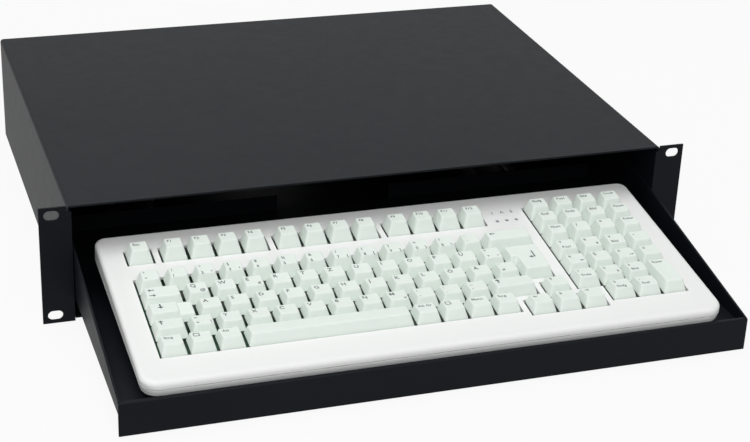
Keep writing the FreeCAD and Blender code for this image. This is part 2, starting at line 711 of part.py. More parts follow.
def round_corners(body):
    """Round the case's corners in plan."""
    fillet(body, "front_corners", "front_corner", lambda edge: (
        runs_along(edge, Z_AXIS) and edge.CenterOfMass.y < body.Tip.Shape.CenterOfMass.y))
    fillet(body, "rear_corners", "rear_corner", lambda edge: (
        runs_along(edge, Z_AXIS) and near(abs(edge.CenterOfMass.x), "case_half")
        and edge.CenterOfMass.y > body.Tip.Shape.BoundBox.YMax - 1e-3))


def keyboard_cover():
    """Mould the cover: a sloping face with key wells, and side walls down to the seam."""
    body = new_body("keyboard_cover")
    block = sketch_on(body, "XY_Plane", "block")
    case_outline(block, "case_half", "-front_margin", "case_back")
    pad(block, "-seam_at_back", backward=True)
    round_corners(body)
    seam = sketch_on(body, "YZ_Plane", "seam")
    polygon(seam, [
        ("-front_margin", "-seam_depth"), ("-front_margin", "2 * seam_at_back"),
        ("case_back", "2 * seam_at_back"), ("case_back", "seam_at_back")])
    pocket(seam, "3 * case_half", symmetric=True)
    fillet(body, "upper_edge", "edge_radius", lambda edge: near(edge.BoundBox.ZMin, "0"))
    hollow = sketch_on(body, "XY_Plane", "hollow", "-cover_thickness")
    case_outline(hollow, "(case_half - case_wall)", "case_wall - front_margin", "case_back - case_wall",
                 "front_corner - case_wall", "rear_corner - case_wall")
    pocket(hollow, "-2 * seam_at_back")
    wells = sketch_on(body, "XY_Plane", "wells")
    for corners in WELLS:
        polygon(wells, well_corners(corners))
    pocket(wells, "2 * cover_thickness")
    lights = sketch_on(body, "XY_Plane", "light_holes")
    for u, v in LIGHT_PLACES:
        many_sided(lights, unit_x(u), unit_y(v), "light_radius + light_play", LIGHT_SIDES)
    pocket(lights, "2 * cover_thickness")
    inlet = solid_in(body, "SubtractiveCylinder", "inlet", Radius="inlet_radius", Height="4 * case_wall")
    inlet_z = "(seam_at_back - cover_thickness) / 2"
    place(inlet, "-inlet_offset", "case_back + case_wall", inlet_z, X_AXIS, "90")
    on_keyboard(body)


def keyboard_base():
    """Mould the base: a shallow tray with ribs under the circuit board and lugs for the tilt feet."""
    body = new_body("keyboard_base")
    block = sketch_on(body, "XY_Plane", "block")
    case_outline(block, "case_half", "0", "base_depth")
    pad(block, "base_height", backward=True)
    round_corners(body)
    chamfer(body, "lower_edge", "lower_edge_cut", lambda edge: near(edge.BoundBox.ZMax, "-base_height"))
    hollow = sketch_on(body, "XY_Plane", "hollow")
    case_outline(hollow, "(case_half - case_wall)", "case_wall", "base_depth - case_wall",
                 "front_corner - case_wall", "rear_corner - case_wall")
    pocket(hollow, "base_height - floor_thickness")
    for index, row in enumerate(RIB_ROWS):
        y = "(%s + front_margin)" % unit_y(row)
        board = "(board_bottom + seam_depth + %s * sin(wedge)) / cos(wedge)" % y
        rib = solid_in(body, "AdditiveBox", "rib_%d" % index, Length="2 * key_field_half",
                       Width="rib_thickness", Height="base_height - floor_thickness / 2 + " + board)
        place(rib, "-key_field_half", y, "floor_thickness / 2 - base_height")
    for side, sign in SIDES.items():
        for edge in (-1, 1):
            inner_face = "%d * leg_x + %d * (leg_width / 2 + axle_play)" % (sign, edge)
            start = inner_face if edge > 0 else inner_face + " - lug_thickness"
            lug = solid_in(body, "AdditiveBox", "%s_lug_%d" % (side, edge + 1),
                           Length="lug_thickness", Width="4 * axle_radius",
                           Height="axle_drop + 2 * axle_radius + floor_thickness / 2")
            place(lug, start, "leg_y - 2 * axle_radius", "leg_z - 2 * axle_radius")
        bore = solid_in(body, "SubtractiveCylinder", side + "_bore", Radius="axle_radius + axle_play",
                        Height="leg_width + 4 * lug_thickness")
        place(bore, "%d * leg_x - leg_width / 2 - 2 * lug_thickness" % sign, "leg_y", "leg_z", Y_AXIS, "90")
    on_case_floor(body)


def circuit_board():
    """Cut the circuit board."""
    body = new_body("circuit_board")
    plan = sketch_on(body, "XY_Plane", "plan", "board_top")
    rectangle(plan, "-key_field_half", "key_field_half", "-board_overlap", "7 * row_pitch")
    pad(plan, "board_thickness", backward=True)
    on_keyboard(body)


def status_lights():
    """Set the three status lights on the board, up to the cover's face."""
    lights = []
    for index, (u, v) in enumerate(LIGHT_PLACES):
        light = doc.addObject("Part::Prism", "light_%d" % index)
        light.Polygon = LIGHT_SIDES
        bind(light, Circumradius="light_radius", Height="light_play - board_top")
        place(light, unit_x(u), unit_y(v), "board_top")
        lights.append(light)
    on_keyboard(group("status_lights", lights))


def keyboard_feet():
    """Stand the case's front on rubber feet, cut to the slope of its floor."""
    front = "base_y + base_height * sin(base_tilt)"
    under_case = box("under_case", Length="4 * case_half", Width="4 * foot_length", Height="4 * foot_length")
    place(under_case, "-2 * case_half", front, "floor_top + foot_height", X_AXIS, "base_tilt")
    feet = []
    for side, sign in SIDES.items():
        block = box(side + "_foot_block", Length="foot_length", Width="foot_width",
                    Height="foot_height + foot_length")
        place(block, "%d * (case_half - foot_inset) - foot_length / 2" % sign,
              front + " + foot_setback", "floor_top")
        foot = doc.addObject("Part::Cut", side + "_foot")
        foot.Base = block
        foot.Tool = under_case
        feet.append(foot)
    group("keyboard_feet", feet)


def tilt_foot(side, sign):
    """Mould a fold-out foot: a plate with bevelled ends, turning on its own axle."""
    body = new_body(side + "_tilt_foot")
    half, bevel = "leg_thickness / 2", "leg_thickness / 5"
    plate = sketch_on(body, "YZ_Plane", "plate")
    inset = "%s - %s" % (half, bevel)
    right = [(inset, "-leg_length"), (half, "%s - leg_length" % bevel), (half, inset), (inset, half)]
    polygon(plate, right + [("-(%s)" % y, z) for y, z in reversed(right)])
    pad(plate, "leg_width", symmetric=True)
    axle = solid_in(body, "AdditiveCylinder", "axle", Radius="axle_radius",
                    Height="leg_width + 2 * (lug_thickness + axle_play)")
    place(axle, "-leg_width / 2 - lug_thickness - axle_play", "0", "0", Y_AXIS, "90")
    place(body, "%d * leg_x" % sign, "leg_world_y", "leg_world_z")


# Keys

class Key:
    """One key: left and front edge, width, depth and raised width in key units, and its row's profile."""

    def __init__(self, u, v, row, width=1.0, depth=1.0, raised=None):
        self.u = u
        self.v = v
        self.row = row
        self.width = width
        self.depth = depth
        self.raised = raised or width

    def middle(self):
        """Give the place of the key's switch, in key units, under the raised part."""
        return self.u + self.raised / 2, self.v + self.depth / 2


def key_run(first_u, count, v, row):
    """List keys of one unit side by side."""
    return [Key(first_u + index, v, row) for index in range(count)]


ENTER = Key(13.75, 2, 3, 1.25, 2)
ENTER_UPPER = Key(13.5, 3, 3, 1.5, 1)
CAPS_LOCK = Key(0, 2, 3, 1.75, raised=1.25)
CAPS_LOCK_RAISED = Key(0, 2, 3, 1.25)
KEYS = {
    "escape_key": [Key(0, 6, 1)],
    "function_keys_left": key_run(1.25, 4, 6, 1),
    "function_keys_middle": key_run(5.5, 4, 6, 1),
    "function_keys_right": key_run(9.75, 4, 6, 1),
    "number_keys": key_run(0, 13, 4, 1),
    "backspace_key": [Key(13, 4, 1, 2)],
    "tab_key": [Key(0, 3, 2, 1.5)],
    "upper_letter_keys": key_run(1.5, 12, 3, 2),
    "enter_key": [ENTER],
    "caps_lock_key": [CAPS_LOCK],
    "home_letter_keys": key_run(1.75, 12, 2, 3),
    "left_shift_key": [Key(0, 1, 4, 1.25)],
    "lower_letter_keys": key_run(1.25, 11, 1, 4),
    "right_shift_key": [Key(12.25, 1, 4, 1.75)],
    "left_control_key": [Key(0, 0, 4)],
    "left_system_key": [Key(1, 0, 4)],
    "left_alt_key": [Key(2, 0, 4)],
    "space_bar": [Key(3, 0, 4, 6)],
    "right_alt_key": [Key(9, 0, 4)],
    "right_system_key": [Key(10, 0, 4)],
    "menu_key": [Key(11, 0, 4)],
    "right_control_key": [Key(12, 0, 4)],
    "left_arrow_key": [Key(13.25, -0.3, 4)],
    "down_arrow_key": [Key(14.25, -0.3, 4)],
    "right_arrow_key": [Key(15.25, -0.3, 4)],
    "up_arrow_key": [Key(14.25, 0.7, 4)],
    "navigation_keys_upper": key_run(15.5, 4, 6, 1),
    "navigation_keys_lower": key_run(15.5, 4, 5, 1),
    "pad_keys_top": key_run(15.5, 4, 4, 1),
    "pad_keys_upper": key_run(15.5, 4, 3, 2),
    "pad_keys_middle": key_run(15.5, 4, 2, 3),
    "pad_keys_lower": key_run(15.5, 3, 1, 4),
    "pad_keys_bottom": key_run(16.5, 2, 0, 4),
    "pad_enter_key": [Key(18.5, 0, 4, 1, 2)],
}


def frustum(x, y, z, height, drafts):
    """Make a block that narrows upwards, from its sides' places and the slopes of its faces.

    x and y are the lowest and highest places, and drafts the tangents for sides, front and back.
    """
    sides, front, back = (height * draft for draft in drafts)
    block = Part.makeWedge(x[0], 0, -y[1], -y[1] + back, x[0] + sides,
                           x[1], height, -y[0], -y[0] - front, x[1] - sides)
    block.rotate(V(), X_AXIS, 90)
    block.translate(V(0, 0, z))
    return block


class CapMaker:
    """Makes keycaps and switches from the sheet's present sizes."""

    def __init__(self):
        self.column = number("key_pitch")
        self.row = number("row_pitch")
        self.left = -number("key_field_half")
        self.side_gap = number("side_gap") / 2
        self.gap = number("cap_gap") / 2
        self.skirt = -number("skirt_drop")
        self.wall = number("cap_wall")
        self.drafts = [number("tan(%s)" % name) for name in ("side_draft", "front_draft", "back_draft")]
        self.heights = {row: number("row%d_height" % row) for row in (1, 2, 3, 4)}
        self.tilts = {row: math.radians(number("row%d_tilt" % row)) for row in (1, 2, 3, 4)}
        self.ceilings = {row: number("row%d_ceiling" % row) for row in (1, 2, 3, 4)}

    def span(self, start, width, pitch, gap):
        """Give a cap's lowest and highest place along one axis."""
        return start * pitch + gap, (start + width) * pitch - gap

    def outside(self, key, shrink=0.0):
        """Give a cap's plan, made smaller all round by a wall."""
        x = [place + self.left for place in self.span(key.u, key.width, self.column, self.side_gap)]
        y = self.span(key.v, key.depth, self.row, self.gap)
        return (x[0] + shrink, x[1] - shrink), (y[0] + shrink, y[1] - shrink)

    def tilt_of(self, key):
        """Give a cap's backward slope, gentler where it spans two rows."""
        return math.atan(math.tan(self.tilts[key.row]) / key.depth)

    def blank(self, key, wing=None):
        """Make the solid outside of a cap, with its tilted top, and with a side wing if given."""
        x, y = self.outside(key)
        tilt = self.tilt_of(key)
        depth = y[1] - y[0]
        height = self.heights[key.row]
        blank_height = height + depth * math.tan(tilt) - self.skirt
        block = frustum(x, y, self.skirt, blank_height, self.drafts)
        if wing:
            x, wing_y = self.outside(wing)
            block = block.fuse(frustum(x, wing_y, self.skirt, blank_height, self.drafts))
        above = Part.makeBox(2 * (x[1] - x[0]), 2 * depth, depth)
        above.translate(V(x[0] - x[1], -depth, 0))
        above.rotate(V(), X_AXIS, -math.degrees(tilt))
        above.translate(V((x[0] + x[1]) / 2, (y[0] + y[1]) / 2, height))
        return block.cut(above)

    def cavity(self, key, ceiling):
        """Make the hollow inside a cap."""
        x, y = self.outside(key, self.wall)
        return frustum(x, y, self.skirt, ceiling - self.skirt, self.drafts)

    def stem(self, key):
        """Make the stem that enters the switch."""
        u, v = key.middle()
        half = number("stem_width") / 2
        low = number("stem_end")
        stem = Part.makeBox(2 * half, 2 * half, self.ceilings[key.row] - low + number("cap_top") / 2)
        stem.translate(V(u * self.column + self.left - half, v * self.row - half, low))
        return stem

    def cap(self, key):
        """Make a whole keycap."""
        outer = self.blank(key)
        ceiling = self.ceilings[key.row]
        inner = self.cavity(key, ceiling)
        if key is ENTER:
            outer = self.blank(ENTER, ENTER_UPPER)
            inner = inner.fuse(self.cavity(ENTER_UPPER, ceiling))
        if key is CAPS_LOCK:
            outer, inner = self.stepped()
        return outer.cut(inner).fuse(self.stem(key)).removeSplitter()

    def stepped(self):
        """Make the outside and hollow of the key whose right part is lower."""
        x, y = self.outside(CAPS_LOCK)
        step = number("step_height")
        skin = number("cap_top")
        low = frustum(x, y, self.skirt, step - self.skirt, self.drafts)
        inner_x, inner_y = self.outside(CAPS_LOCK, self.wall)
        low_inner = frustum(inner_x, inner_y, self.skirt, step - skin - self.skirt, self.drafts)
        raised_inner = self.cavity(CAPS_LOCK_RAISED, self.ceilings[CAPS_LOCK.row])
        return self.blank(CAPS_LOCK_RAISED).fuse(low), low_inner.fuse(raised_inner)

    def switch(self, key):
        """Make a switch body with the socket for the stem."""
        u, v = key.middle()
        middle = V(u * self.column + self.left, v * self.row, 0)
        half = number("switch_half")
        socket = number("stem_width / 2 + stem_play")
        low, top, bottom = number("board_top"), number("switch_top"), number("socket_end")
        x, y = (middle.x - half, middle.x + half), (middle.y - half, middle.y + half)
        body = frustum(x, y, low, top - low, [draft / 2 for draft in self.drafts])
        hole = Part.makeBox(2 * socket, 2 * socket, top - bottom + socket)
        hole.translate(middle + V(-socket, -socket, bottom))
        return body.cut(hole)


def keys_and_switches():
    """Make every keycap, grouped by the keys that share a sub-part, and the switches below."""
    maker = CapMaker()
    for label, keys in KEYS.items():
        on_keyboard(shape_part(label, [maker.cap(key) for key in keys]))
    switches = [maker.switch(key) for keys in KEYS.values() for key in keys]
    on_keyboard(shape_part("key_switches", switches))


# Checks and files

def check_model():
    """Stop if any object failed, any pocket cut nothing or any sub-part is not sound."""
    for item in doc.Objects:
        if "Invalid" in item.State or "Error" in item.State:
            raise RuntimeError("%s failed: %s" % (item.Name, item.State))
        if item.TypeId == "PartDesign::Pocket" and item.Shape.Volume >= item.BaseFeature.Shape.Volume - 1e-6:
            raise RuntimeError("%s cuts nothing" % item.Name)
    for part in sub_parts:
        if part.Shape.isNull() or not part.Shape.isValid() or not part.Shape.Solids:
            raise RuntimeError("%s has no sound solid" % part.Label)


def main():
    """Build every sub-part, check the model and write one file for each."""
    fill_sheet()
    housing_shell()
    base_plate()
    rear_panel()
    for side, sign in SIDES.items():
        rack_ear(side, sign)
        outer_rail(side, sign)
        inner_rail(side, sign)
        ball_cage(side, sign)
        rail_balls(side, sign)
        tilt_foot(side, sign)
    tray_pan()
    tray_front()
    keyboard_base()
    keyboard_cover()
    circuit_board()
    status_lights()
    keyboard_feet()
    keys_and_switches()
    doc.recompute()
    check_model()
    os.makedirs("parts", exist_ok=True)
    for part in sub_parts:
        part.Shape.exportStep("parts/%s.step" % part.Label)


main()
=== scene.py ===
"""Dresses the rack keyboard tray: painted sheet steel, ball slides and a pale keyboard with printed caps."""

from __future__ import annotations

import json
import logging
import math
from dataclasses import dataclass, field
from enum import Enum
from typing import Callable, Sequence

import bmesh
import bpy
from mathutils import Matrix, Vector

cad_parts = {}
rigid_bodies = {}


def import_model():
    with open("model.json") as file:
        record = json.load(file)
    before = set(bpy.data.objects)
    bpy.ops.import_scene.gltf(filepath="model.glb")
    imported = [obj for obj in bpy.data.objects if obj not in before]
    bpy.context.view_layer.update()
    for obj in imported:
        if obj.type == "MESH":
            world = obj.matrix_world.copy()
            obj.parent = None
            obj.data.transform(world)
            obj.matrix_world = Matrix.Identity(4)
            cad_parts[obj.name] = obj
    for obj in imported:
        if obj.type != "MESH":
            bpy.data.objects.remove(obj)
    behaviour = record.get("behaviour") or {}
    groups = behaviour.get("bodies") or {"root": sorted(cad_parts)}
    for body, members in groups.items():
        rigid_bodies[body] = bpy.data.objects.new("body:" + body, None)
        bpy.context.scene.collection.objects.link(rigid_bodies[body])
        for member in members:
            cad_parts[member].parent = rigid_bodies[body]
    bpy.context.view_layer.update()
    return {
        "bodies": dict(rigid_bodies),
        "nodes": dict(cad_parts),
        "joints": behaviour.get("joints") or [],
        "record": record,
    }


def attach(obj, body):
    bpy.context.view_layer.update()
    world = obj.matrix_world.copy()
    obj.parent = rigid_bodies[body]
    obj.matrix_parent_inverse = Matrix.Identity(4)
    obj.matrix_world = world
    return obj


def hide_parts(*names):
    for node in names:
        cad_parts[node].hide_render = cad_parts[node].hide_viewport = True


MM = 0.001
TINY = 1e-6
WHITE = (1.0, 1.0, 1.0, 1.0)
LOG = logging.getLogger("keyboard_tray")
Colour = tuple[float, float, float]
Point = tuple[float, float, float]
Place = tuple[float, float]
Faces = list[tuple[int, ...]]
Material = bpy.types.Material
Mesh = bpy.types.Mesh
Shape = bmesh.types.BMesh
Vert = bmesh.types.BMVert


# Nodes written as plain expressions

def binary(operation: str, swapped: bool = False) -> Callable[[Wire, Wire | float], Wire]:
    """Makes an operator for wires.

    Args:
        operation: the Math node's operation.
        swapped: whether the other value comes first.

    Returns:
        The operator, which adds one Math node.
    """
    def work(this: Wire, other: Wire | float) -> Wire:
        """Adds the node and gives its result."""
        first, second = (other, this) if swapped else (this, other)
        return this.bench.node("ShaderNodeMath", {"operation": operation}, {0: first, 1: second})

    return work


@dataclass(frozen=True)
class Wire:
    """One output of a node, which takes part in sums and products."""

    bench: Bench
    socket: bpy.types.NodeSocket

    __add__ = binary("ADD")
    __radd__ = binary("ADD", swapped=True)
    __sub__ = binary("SUBTRACT")
    __rsub__ = binary("SUBTRACT", swapped=True)
    __mul__ = binary("MULTIPLY")
    __rmul__ = binary("MULTIPLY", swapped=True)
    at_most = binary("MINIMUM")


class Bench:
    """A node tree that is being filled."""

    def __init__(self, tree: bpy.types.NodeTree) -> None:
        """Keeps the tree and empties it."""
        self.tree = tree
        tree.nodes.clear()

    def node(self, kind: str, settings: dict | None = None, sockets: dict | None = None,
             output: int | str = 0) -> Wire | None:
        """Adds a node, sets it and links it.

        Args:
            kind: the node's type.
            settings: its settings, set before its sockets.
            sockets: a value or a wire for each input, by name or place.
            output: which output to hand back.

        Returns:
            The chosen output, or None from a node that has none.
        """
        made = self.tree.nodes.new(kind)
        for name, value in (settings or {}).items():
            if name == "stops":
                self._stops(made, value)
            else:
                setattr(made, name, value)
        for name, value in (sockets or {}).items():
            if isinstance(value, Wire):
                self.tree.links.new(value.socket, made.inputs[name])
            else:
                made.inputs[name].default_value = value
        return Wire(self, made.outputs[output]) if made.outputs else None

    @staticmethod
    def _stops(ramp: bpy.types.Node, stops: Sequence[Place]) -> None:
        """Sets a ramp's stops.

        Args:
            ramp: the ramp node.
            stops: the place and grey level of each stop.
        """
        elements = ramp.color_ramp.elements
        while len(elements) < len(stops):
            elements.new(1.0)
        for element, (place, level) in zip(elements, stops):
            element.position = place
            element.color = (level, level, level, 1.0)


class Canvas(Bench):
    """A material's tree, with patterns in the object's own coordinates."""

    NOISE_ROUGHNESS: float = 0.55

    def __init__(self, material: Material) -> None:
        """Empties the material's tree and adds the coordinates.

        Args:
            material: the material to fill.
        """
        material.use_nodes = True
        super().__init__(material.node_tree)
        self.place = self.node("ShaderNodeTexCoord", output="Object")

    def noise(self, size: float, detail: float = 2.0, place: Wire | None = None) -> Wire:
        """Adds an even noise.

        Args:
            size: the size of its patches in millimetres.
            detail: how many finer layers it has.
            place: its coordinates, or None for the object's own.

        Returns:
            The noise, from 0 to 1.
        """
        return self.node("ShaderNodeTexNoise", None, {
            "Vector": place or self.place, "Scale": 1.0 / (size * MM), "Detail": detail,
            "Roughness": self.NOISE_ROUGHNESS})

    def dots(self, pitch: float, solid: float, clear: float, randomness: float = 1.0) -> Wire:
        """Adds scattered round dots.

        Args:
            pitch: about how far apart they lie, in millimetres.
            solid: how far from its middle a dot is solid, as a share of the pitch.
            clear: how far from its middle it has faded out.
            randomness: how unevenly they lie.

        Returns:
            The dots, 1 on a dot and 0 between.
        """
        cells = self.node("ShaderNodeTexVoronoi", None, {
            "Vector": self.place, "Scale": 1.0 / (pitch * MM), "Randomness": randomness})
        return self.node("ShaderNodeValToRGB", {"stops": ((solid, 1.0), (clear, 0.0))}, {0: cells})

    def mix(self, share: Wire, low: Colour | Wire, high: Colour | Wire) -> Wire:
        """Mixes two colours.

        Args:
            share: the share of the second colour.
            low: the first colour.
            high: the second colour.

        Returns:
            The mixed colour.
        """
        ends = [end if isinstance(end, Wire) else (*end, 1.0) for end in (low, high)]
        return self.node("ShaderNodeMix", {"data_type": "RGBA"}, {0: share, 6: ends[0], 7: ends[1]}, 2)


# Finishes

class Grain(Enum):
    """The kinds of fine surface relief."""

    POWDER = "powder"
    MOULDED = "moulded"
    BRUSHED = "brushed"
    SMOOTH = "smooth"


@dataclass(frozen=True)
class Finish:
    """One surface finish, with its colour, gloss, relief and wear."""

    name: str
    colour: Colour
    roughness: float
    grain: Grain
    grain_size: float
    grain_depth: float
    metallic: float = 0.0
    specular: float = 0.5
    mottling: float = 0.05
    gloss_change: float = 0.05
    patch_size: float = 60.0
    fine_ratio: float = 9.0
    broad_share: float = 0.6
    brush_scale: float = 0.03
    cell_share: float = 0.6
    cell_smoothness: float = 0.8
    pebble_ratio: float = 0.6
    specks: float = 0.0
    speck_pitch: float = 2.2
    speck_edge: Place = (0.05, 0.13)
    speck_colour: Colour = (0.2, 0.2, 0.2)

    def build(self) -> Material:
        """Makes the material.

        Returns:
            The finished material.
        """
        material = bpy.data.materials.new(self.name)
        canvas = Canvas(material)
        colour, gloss = self.paint(canvas)
        shader = canvas.node("ShaderNodeBsdfPrincipled", None, {
            "Base Color": colour,
            "Roughness": gloss,
            "Metallic": self.metallic,
            "Specular IOR Level": self.specular,
            "Normal": self.relief(canvas),
        })
        canvas.node("ShaderNodeOutputMaterial", None, {"Surface": shader})
        return material

    def paint(self, canvas: Canvas) -> tuple[Wire, Wire]:
        """Makes the colour and the roughness.

        Args:
            canvas: the tree to fill.

        Returns:
            The colour and the roughness.
        """
        broad = canvas.noise(self.patch_size)
        fine = canvas.noise(self.patch_size / self.fine_ratio, 4.0)
        darker = tuple(channel * (1.0 - self.mottling) for channel in self.colour)
        paler = tuple(min(1.0, channel * (1.0 + self.mottling)) for channel in self.colour)
        patches = self.broad_share * broad + (1.0 - self.broad_share) * fine
        colour = canvas.mix(patches, darker, paler)
        if self.specks:
            dust = canvas.dots(self.speck_pitch, *self.speck_edge)
            colour = canvas.mix(dust * self.specks * broad, colour, self.speck_colour)
        gloss = self.roughness - self.gloss_change + 2.0 * self.gloss_change * fine
        return colour, gloss

    def relief(self, canvas: Canvas) -> Wire:
        """Makes the fine bumps of the surface.

        Args:
            canvas: the tree to fill.

        Returns:
            The bumped normal.
        """
        size = self.grain_size
        if self.grain is Grain.BRUSHED:
            drawn = canvas.node("ShaderNodeMapping", None, {
                "Vector": canvas.place, "Scale": (1.0, self.brush_scale, 1.0)})
            height = canvas.noise(size, 3.0, drawn)
        elif self.grain is Grain.POWDER:
            cells = canvas.node("ShaderNodeTexVoronoi", {"feature": "SMOOTH_F1"}, {
                "Vector": canvas.place, "Scale": 1.0 / (size * MM), "Smoothness": self.cell_smoothness})
            pebbles = canvas.noise(size * self.pebble_ratio)
            height = self.cell_share * cells + (1.0 - self.cell_share) * pebbles
        else:
            height = canvas.noise(size, 3.0 if self.grain is Grain.MOULDED else 0.0)
        return canvas.node("ShaderNodeBump", None, {
            "Strength": 1.0, "Distance": self.grain_depth * MM, "Height": height})


@dataclass(frozen=True)
class BoardFinish(Finish):
    """A circuit board's lacquer, with tracks and pads under it."""

    track_pitch: float = 19.05
    track_width: float = 0.05
    track_row: float = 0.25
    track_colour: Colour = (0.03, 0.16, 0.07)
    pad_pitch: float = 6.0
    pad_edge: Place = (0.14, 0.18)
    pad_scatter: float = 0.4
    pad_colour: Colour = (0.55, 0.50, 0.36)

    def paint(self, canvas: Canvas) -> tuple[Wire, Wire]:
        """Makes the colour and the roughness.

        Args:
            canvas: the tree to fill.

        Returns:
            The colour and the roughness.
        """
        colour, gloss = super().paint(canvas)
        tracks = canvas.node("ShaderNodeTexBrick", {"offset": 0.5}, {
            "Vector": canvas.place, "Scale": 1.0 / (self.track_pitch * MM), "Mortar Size": self.track_width,
            "Brick Width": 1.0, "Row Height": self.track_row}, "Fac")
        colour = canvas.mix(tracks, colour, self.track_colour)
        pads = canvas.dots(self.pad_pitch, *self.pad_edge, randomness=self.pad_scatter)
        return canvas.mix(pads, colour, self.pad_colour), gloss


class Look(Enum):
    """Every finish of the tray."""

    PAINT = Finish("black_powder_coat", (0.0056, 0.0068, 0.0092), 0.48, Grain.POWDER, 0.75, 0.045,
                   specular=0.09, mottling=0.16, patch_size=90.0,
                   specks=0.5, speck_colour=(0.06, 0.065, 0.07))
    ZINC = Finish("zinc_plated_steel", (0.50, 0.50, 0.49), 0.36, Grain.BRUSHED, 0.35, 0.012,
                  metallic=1.0, mottling=0.12, gloss_change=0.10, patch_size=25.0)
    BEARING = Finish("bearing_steel", (0.62, 0.62, 0.63), 0.14, Grain.SMOOTH, 1.5, 0.002,
                     metallic=1.0, gloss_change=0.04, patch_size=6.0)
    FASTENER = Finish("passivated_steel", (0.52, 0.50, 0.44), 0.34, Grain.BRUSHED, 0.3, 0.008,
                      metallic=1.0, mottling=0.15, gloss_change=0.08, patch_size=5.0)
    CASE = Finish("pale_case_plastic", (0.840, 0.850, 0.842), 0.52, Grain.MOULDED, 0.55, 0.016,
                  specular=0.42, mottling=0.014, gloss_change=0.04, patch_size=80.0)
    CAPS = Finish("keycap_plastic", (0.800, 0.870, 0.815), 0.48, Grain.MOULDED, 0.40, 0.012,
                  specular=0.40, mottling=0.022, gloss_change=0.08, patch_size=30.0)
    INK = Finish("printed_ink", (0.095, 0.115, 0.115), 0.55, Grain.SMOOTH, 0.30, 0.004,
                 mottling=0.25, patch_size=1.5)
    BOARD = BoardFinish("board_lacquer", (0.030, 0.120, 0.070), 0.30, Grain.SMOOTH, 2.0, 0.01,
                        mottling=0.10, patch_size=20.0)
    SWITCHES = Finish("switch_plastic", (0.260, 0.290, 0.275), 0.45, Grain.MOULDED, 0.4, 0.010,
                      mottling=0.15, gloss_change=0.06, patch_size=12.0)
    LENS = Finish("light_lens", (0.250, 0.270, 0.320), 0.30, Grain.SMOOTH, 0.6, 0.006,
                  mottling=0.30, patch_size=1.6)
    RUBBER = Finish("foot_rubber", (0.028, 0.028, 0.030), 0.80, Grain.MOULDED, 0.5, 0.03,
                    mottling=0.20, gloss_change=0.08, patch_size=10.0)
    PALE_INK = Finish("pale_printed_ink", (0.25, 0.28, 0.31), 0.55, Grain.SMOOTH, 0.30, 0.004,
                      mottling=0.20, patch_size=1.5)


@dataclass(frozen=True)
class Coat:
    """How a node's copy is named, rounded and finished."""

    word: str
    slot: str
    look: Look
    width: float
    segments: int = 2


SHEET = Coat("sheet", "black_paint", Look.PAINT, 0.28)
STRIP = Coat("strip", "steel", Look.ZINC, 0.16, 1)
MOULDING = Coat("moulding", "case_plastic", Look.CASE, 0.32)
TILT_FOOT = Coat("moulding", "case_plastic", Look.CASE, 0.5)
PADS = Coat("pads", "foot_rubber", Look.RUBBER, 0.8, 3)


# Meshes and pieces

MERGE_DISTANCE = 2e-6
FLAT_ANGLE = math.radians(0.4)
ROUNDED_ANGLE = math.radians(30.0)


def evaluated(thing: bpy.types.Object) -> Mesh:
    """Turns an object with its modifiers into a plain mesh.

    Args:
        thing: the object, which is removed.

    Returns:
        The mesh.
    """
    bpy.context.view_layer.update()
    graph = bpy.context.evaluated_depsgraph_get()
    mesh = bpy.data.meshes.new_from_object(thing.evaluated_get(graph))
    thing.modifiers.clear()
    bpy.data.objects.remove(thing)
    return mesh


def loose(name: str, data: bpy.types.ID) -> bpy.types.Object:
    """Puts data in a new object of the scene.

    Args:
        name: the object's name.
        data: a mesh, a curve, a lamp or a camera.

    Returns:
        The object.
    """
    thing = bpy.data.objects.new(name, data)
    bpy.context.scene.collection.objects.link(thing)
    return thing


def finish_piece(name: str, mesh: Mesh, body: str, slot: str, *nodes: str) -> None:
    """Makes a mesh a piece of the tray.

    Args:
        name: the piece's name.
        mesh: its mesh, in place.
        body: the body that it rides on.
        slot: the record's slot for its finish, which is not used.
        nodes: the nodes that it stands for.
    """
    mesh.name = name
    piece = loose(name, mesh)
    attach(piece, body)
    if nodes:
        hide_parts(*nodes)
    LOG.info("piece %s on %s, %d faces", name, body, len(mesh.polygons))


def clad(mesh: Mesh, *materials: Material) -> Mesh:
    """Gives a mesh its materials.

    Args:
        mesh: the mesh.
        materials: the materials, in the order of its slots.

    Returns:
        The same mesh.
    """
    while len(mesh.materials) < len(materials):
        mesh.materials.append(None)
    for index, material in enumerate(materials):
        mesh.materials[index] = material
    return mesh


def smooth(mesh: Mesh) -> None:
    """Shades a mesh smoothly."""
    mesh.polygons.foreach_set("use_smooth", [True] * len(mesh.polygons))


def meshed(shape: Shape, name: str, angle: float | None = None) -> Mesh:
    """Turns a closed shape into a mesh whose faces look outward.

    Args:
        shape: the shape, which is freed.
        name: the mesh's name.
        angle: the angle in degrees from which an edge stays sharp, or None for flat faces.

    Returns:
        The mesh.
    """
    bmesh.ops.recalc_face_normals(shape, faces=shape.faces)
    mesh = bpy.data.meshes.new(name)
    shape.to_mesh(mesh)
    shape.free()
    if angle is not None:
        smooth(mesh)
        mesh.set_sharp_from_angle(angle=math.radians(angle))
    return mesh


def joined(name: str, meshes: Sequence[Mesh], slots: Sequence[int]) -> Mesh:
    """Puts several meshes in one.

    Args:
        name: the new mesh's name.
        meshes: the meshes, which are removed.
        slots: the material slot for each mesh.

    Returns:
        The new mesh.
    """
    whole = bmesh.new()
    for mesh, slot in zip(meshes, slots):
        before = len(whole.faces)
        whole.from_mesh(mesh)
        whole.faces.ensure_lookup_table()
        for face in whole.faces[before:]:
            face.material_index = slot
    result = bpy.data.meshes.new(name)
    whole.to_mesh(result)
    whole.free()
    for mesh in meshes:
        bpy.data.meshes.remove(mesh)
    return result


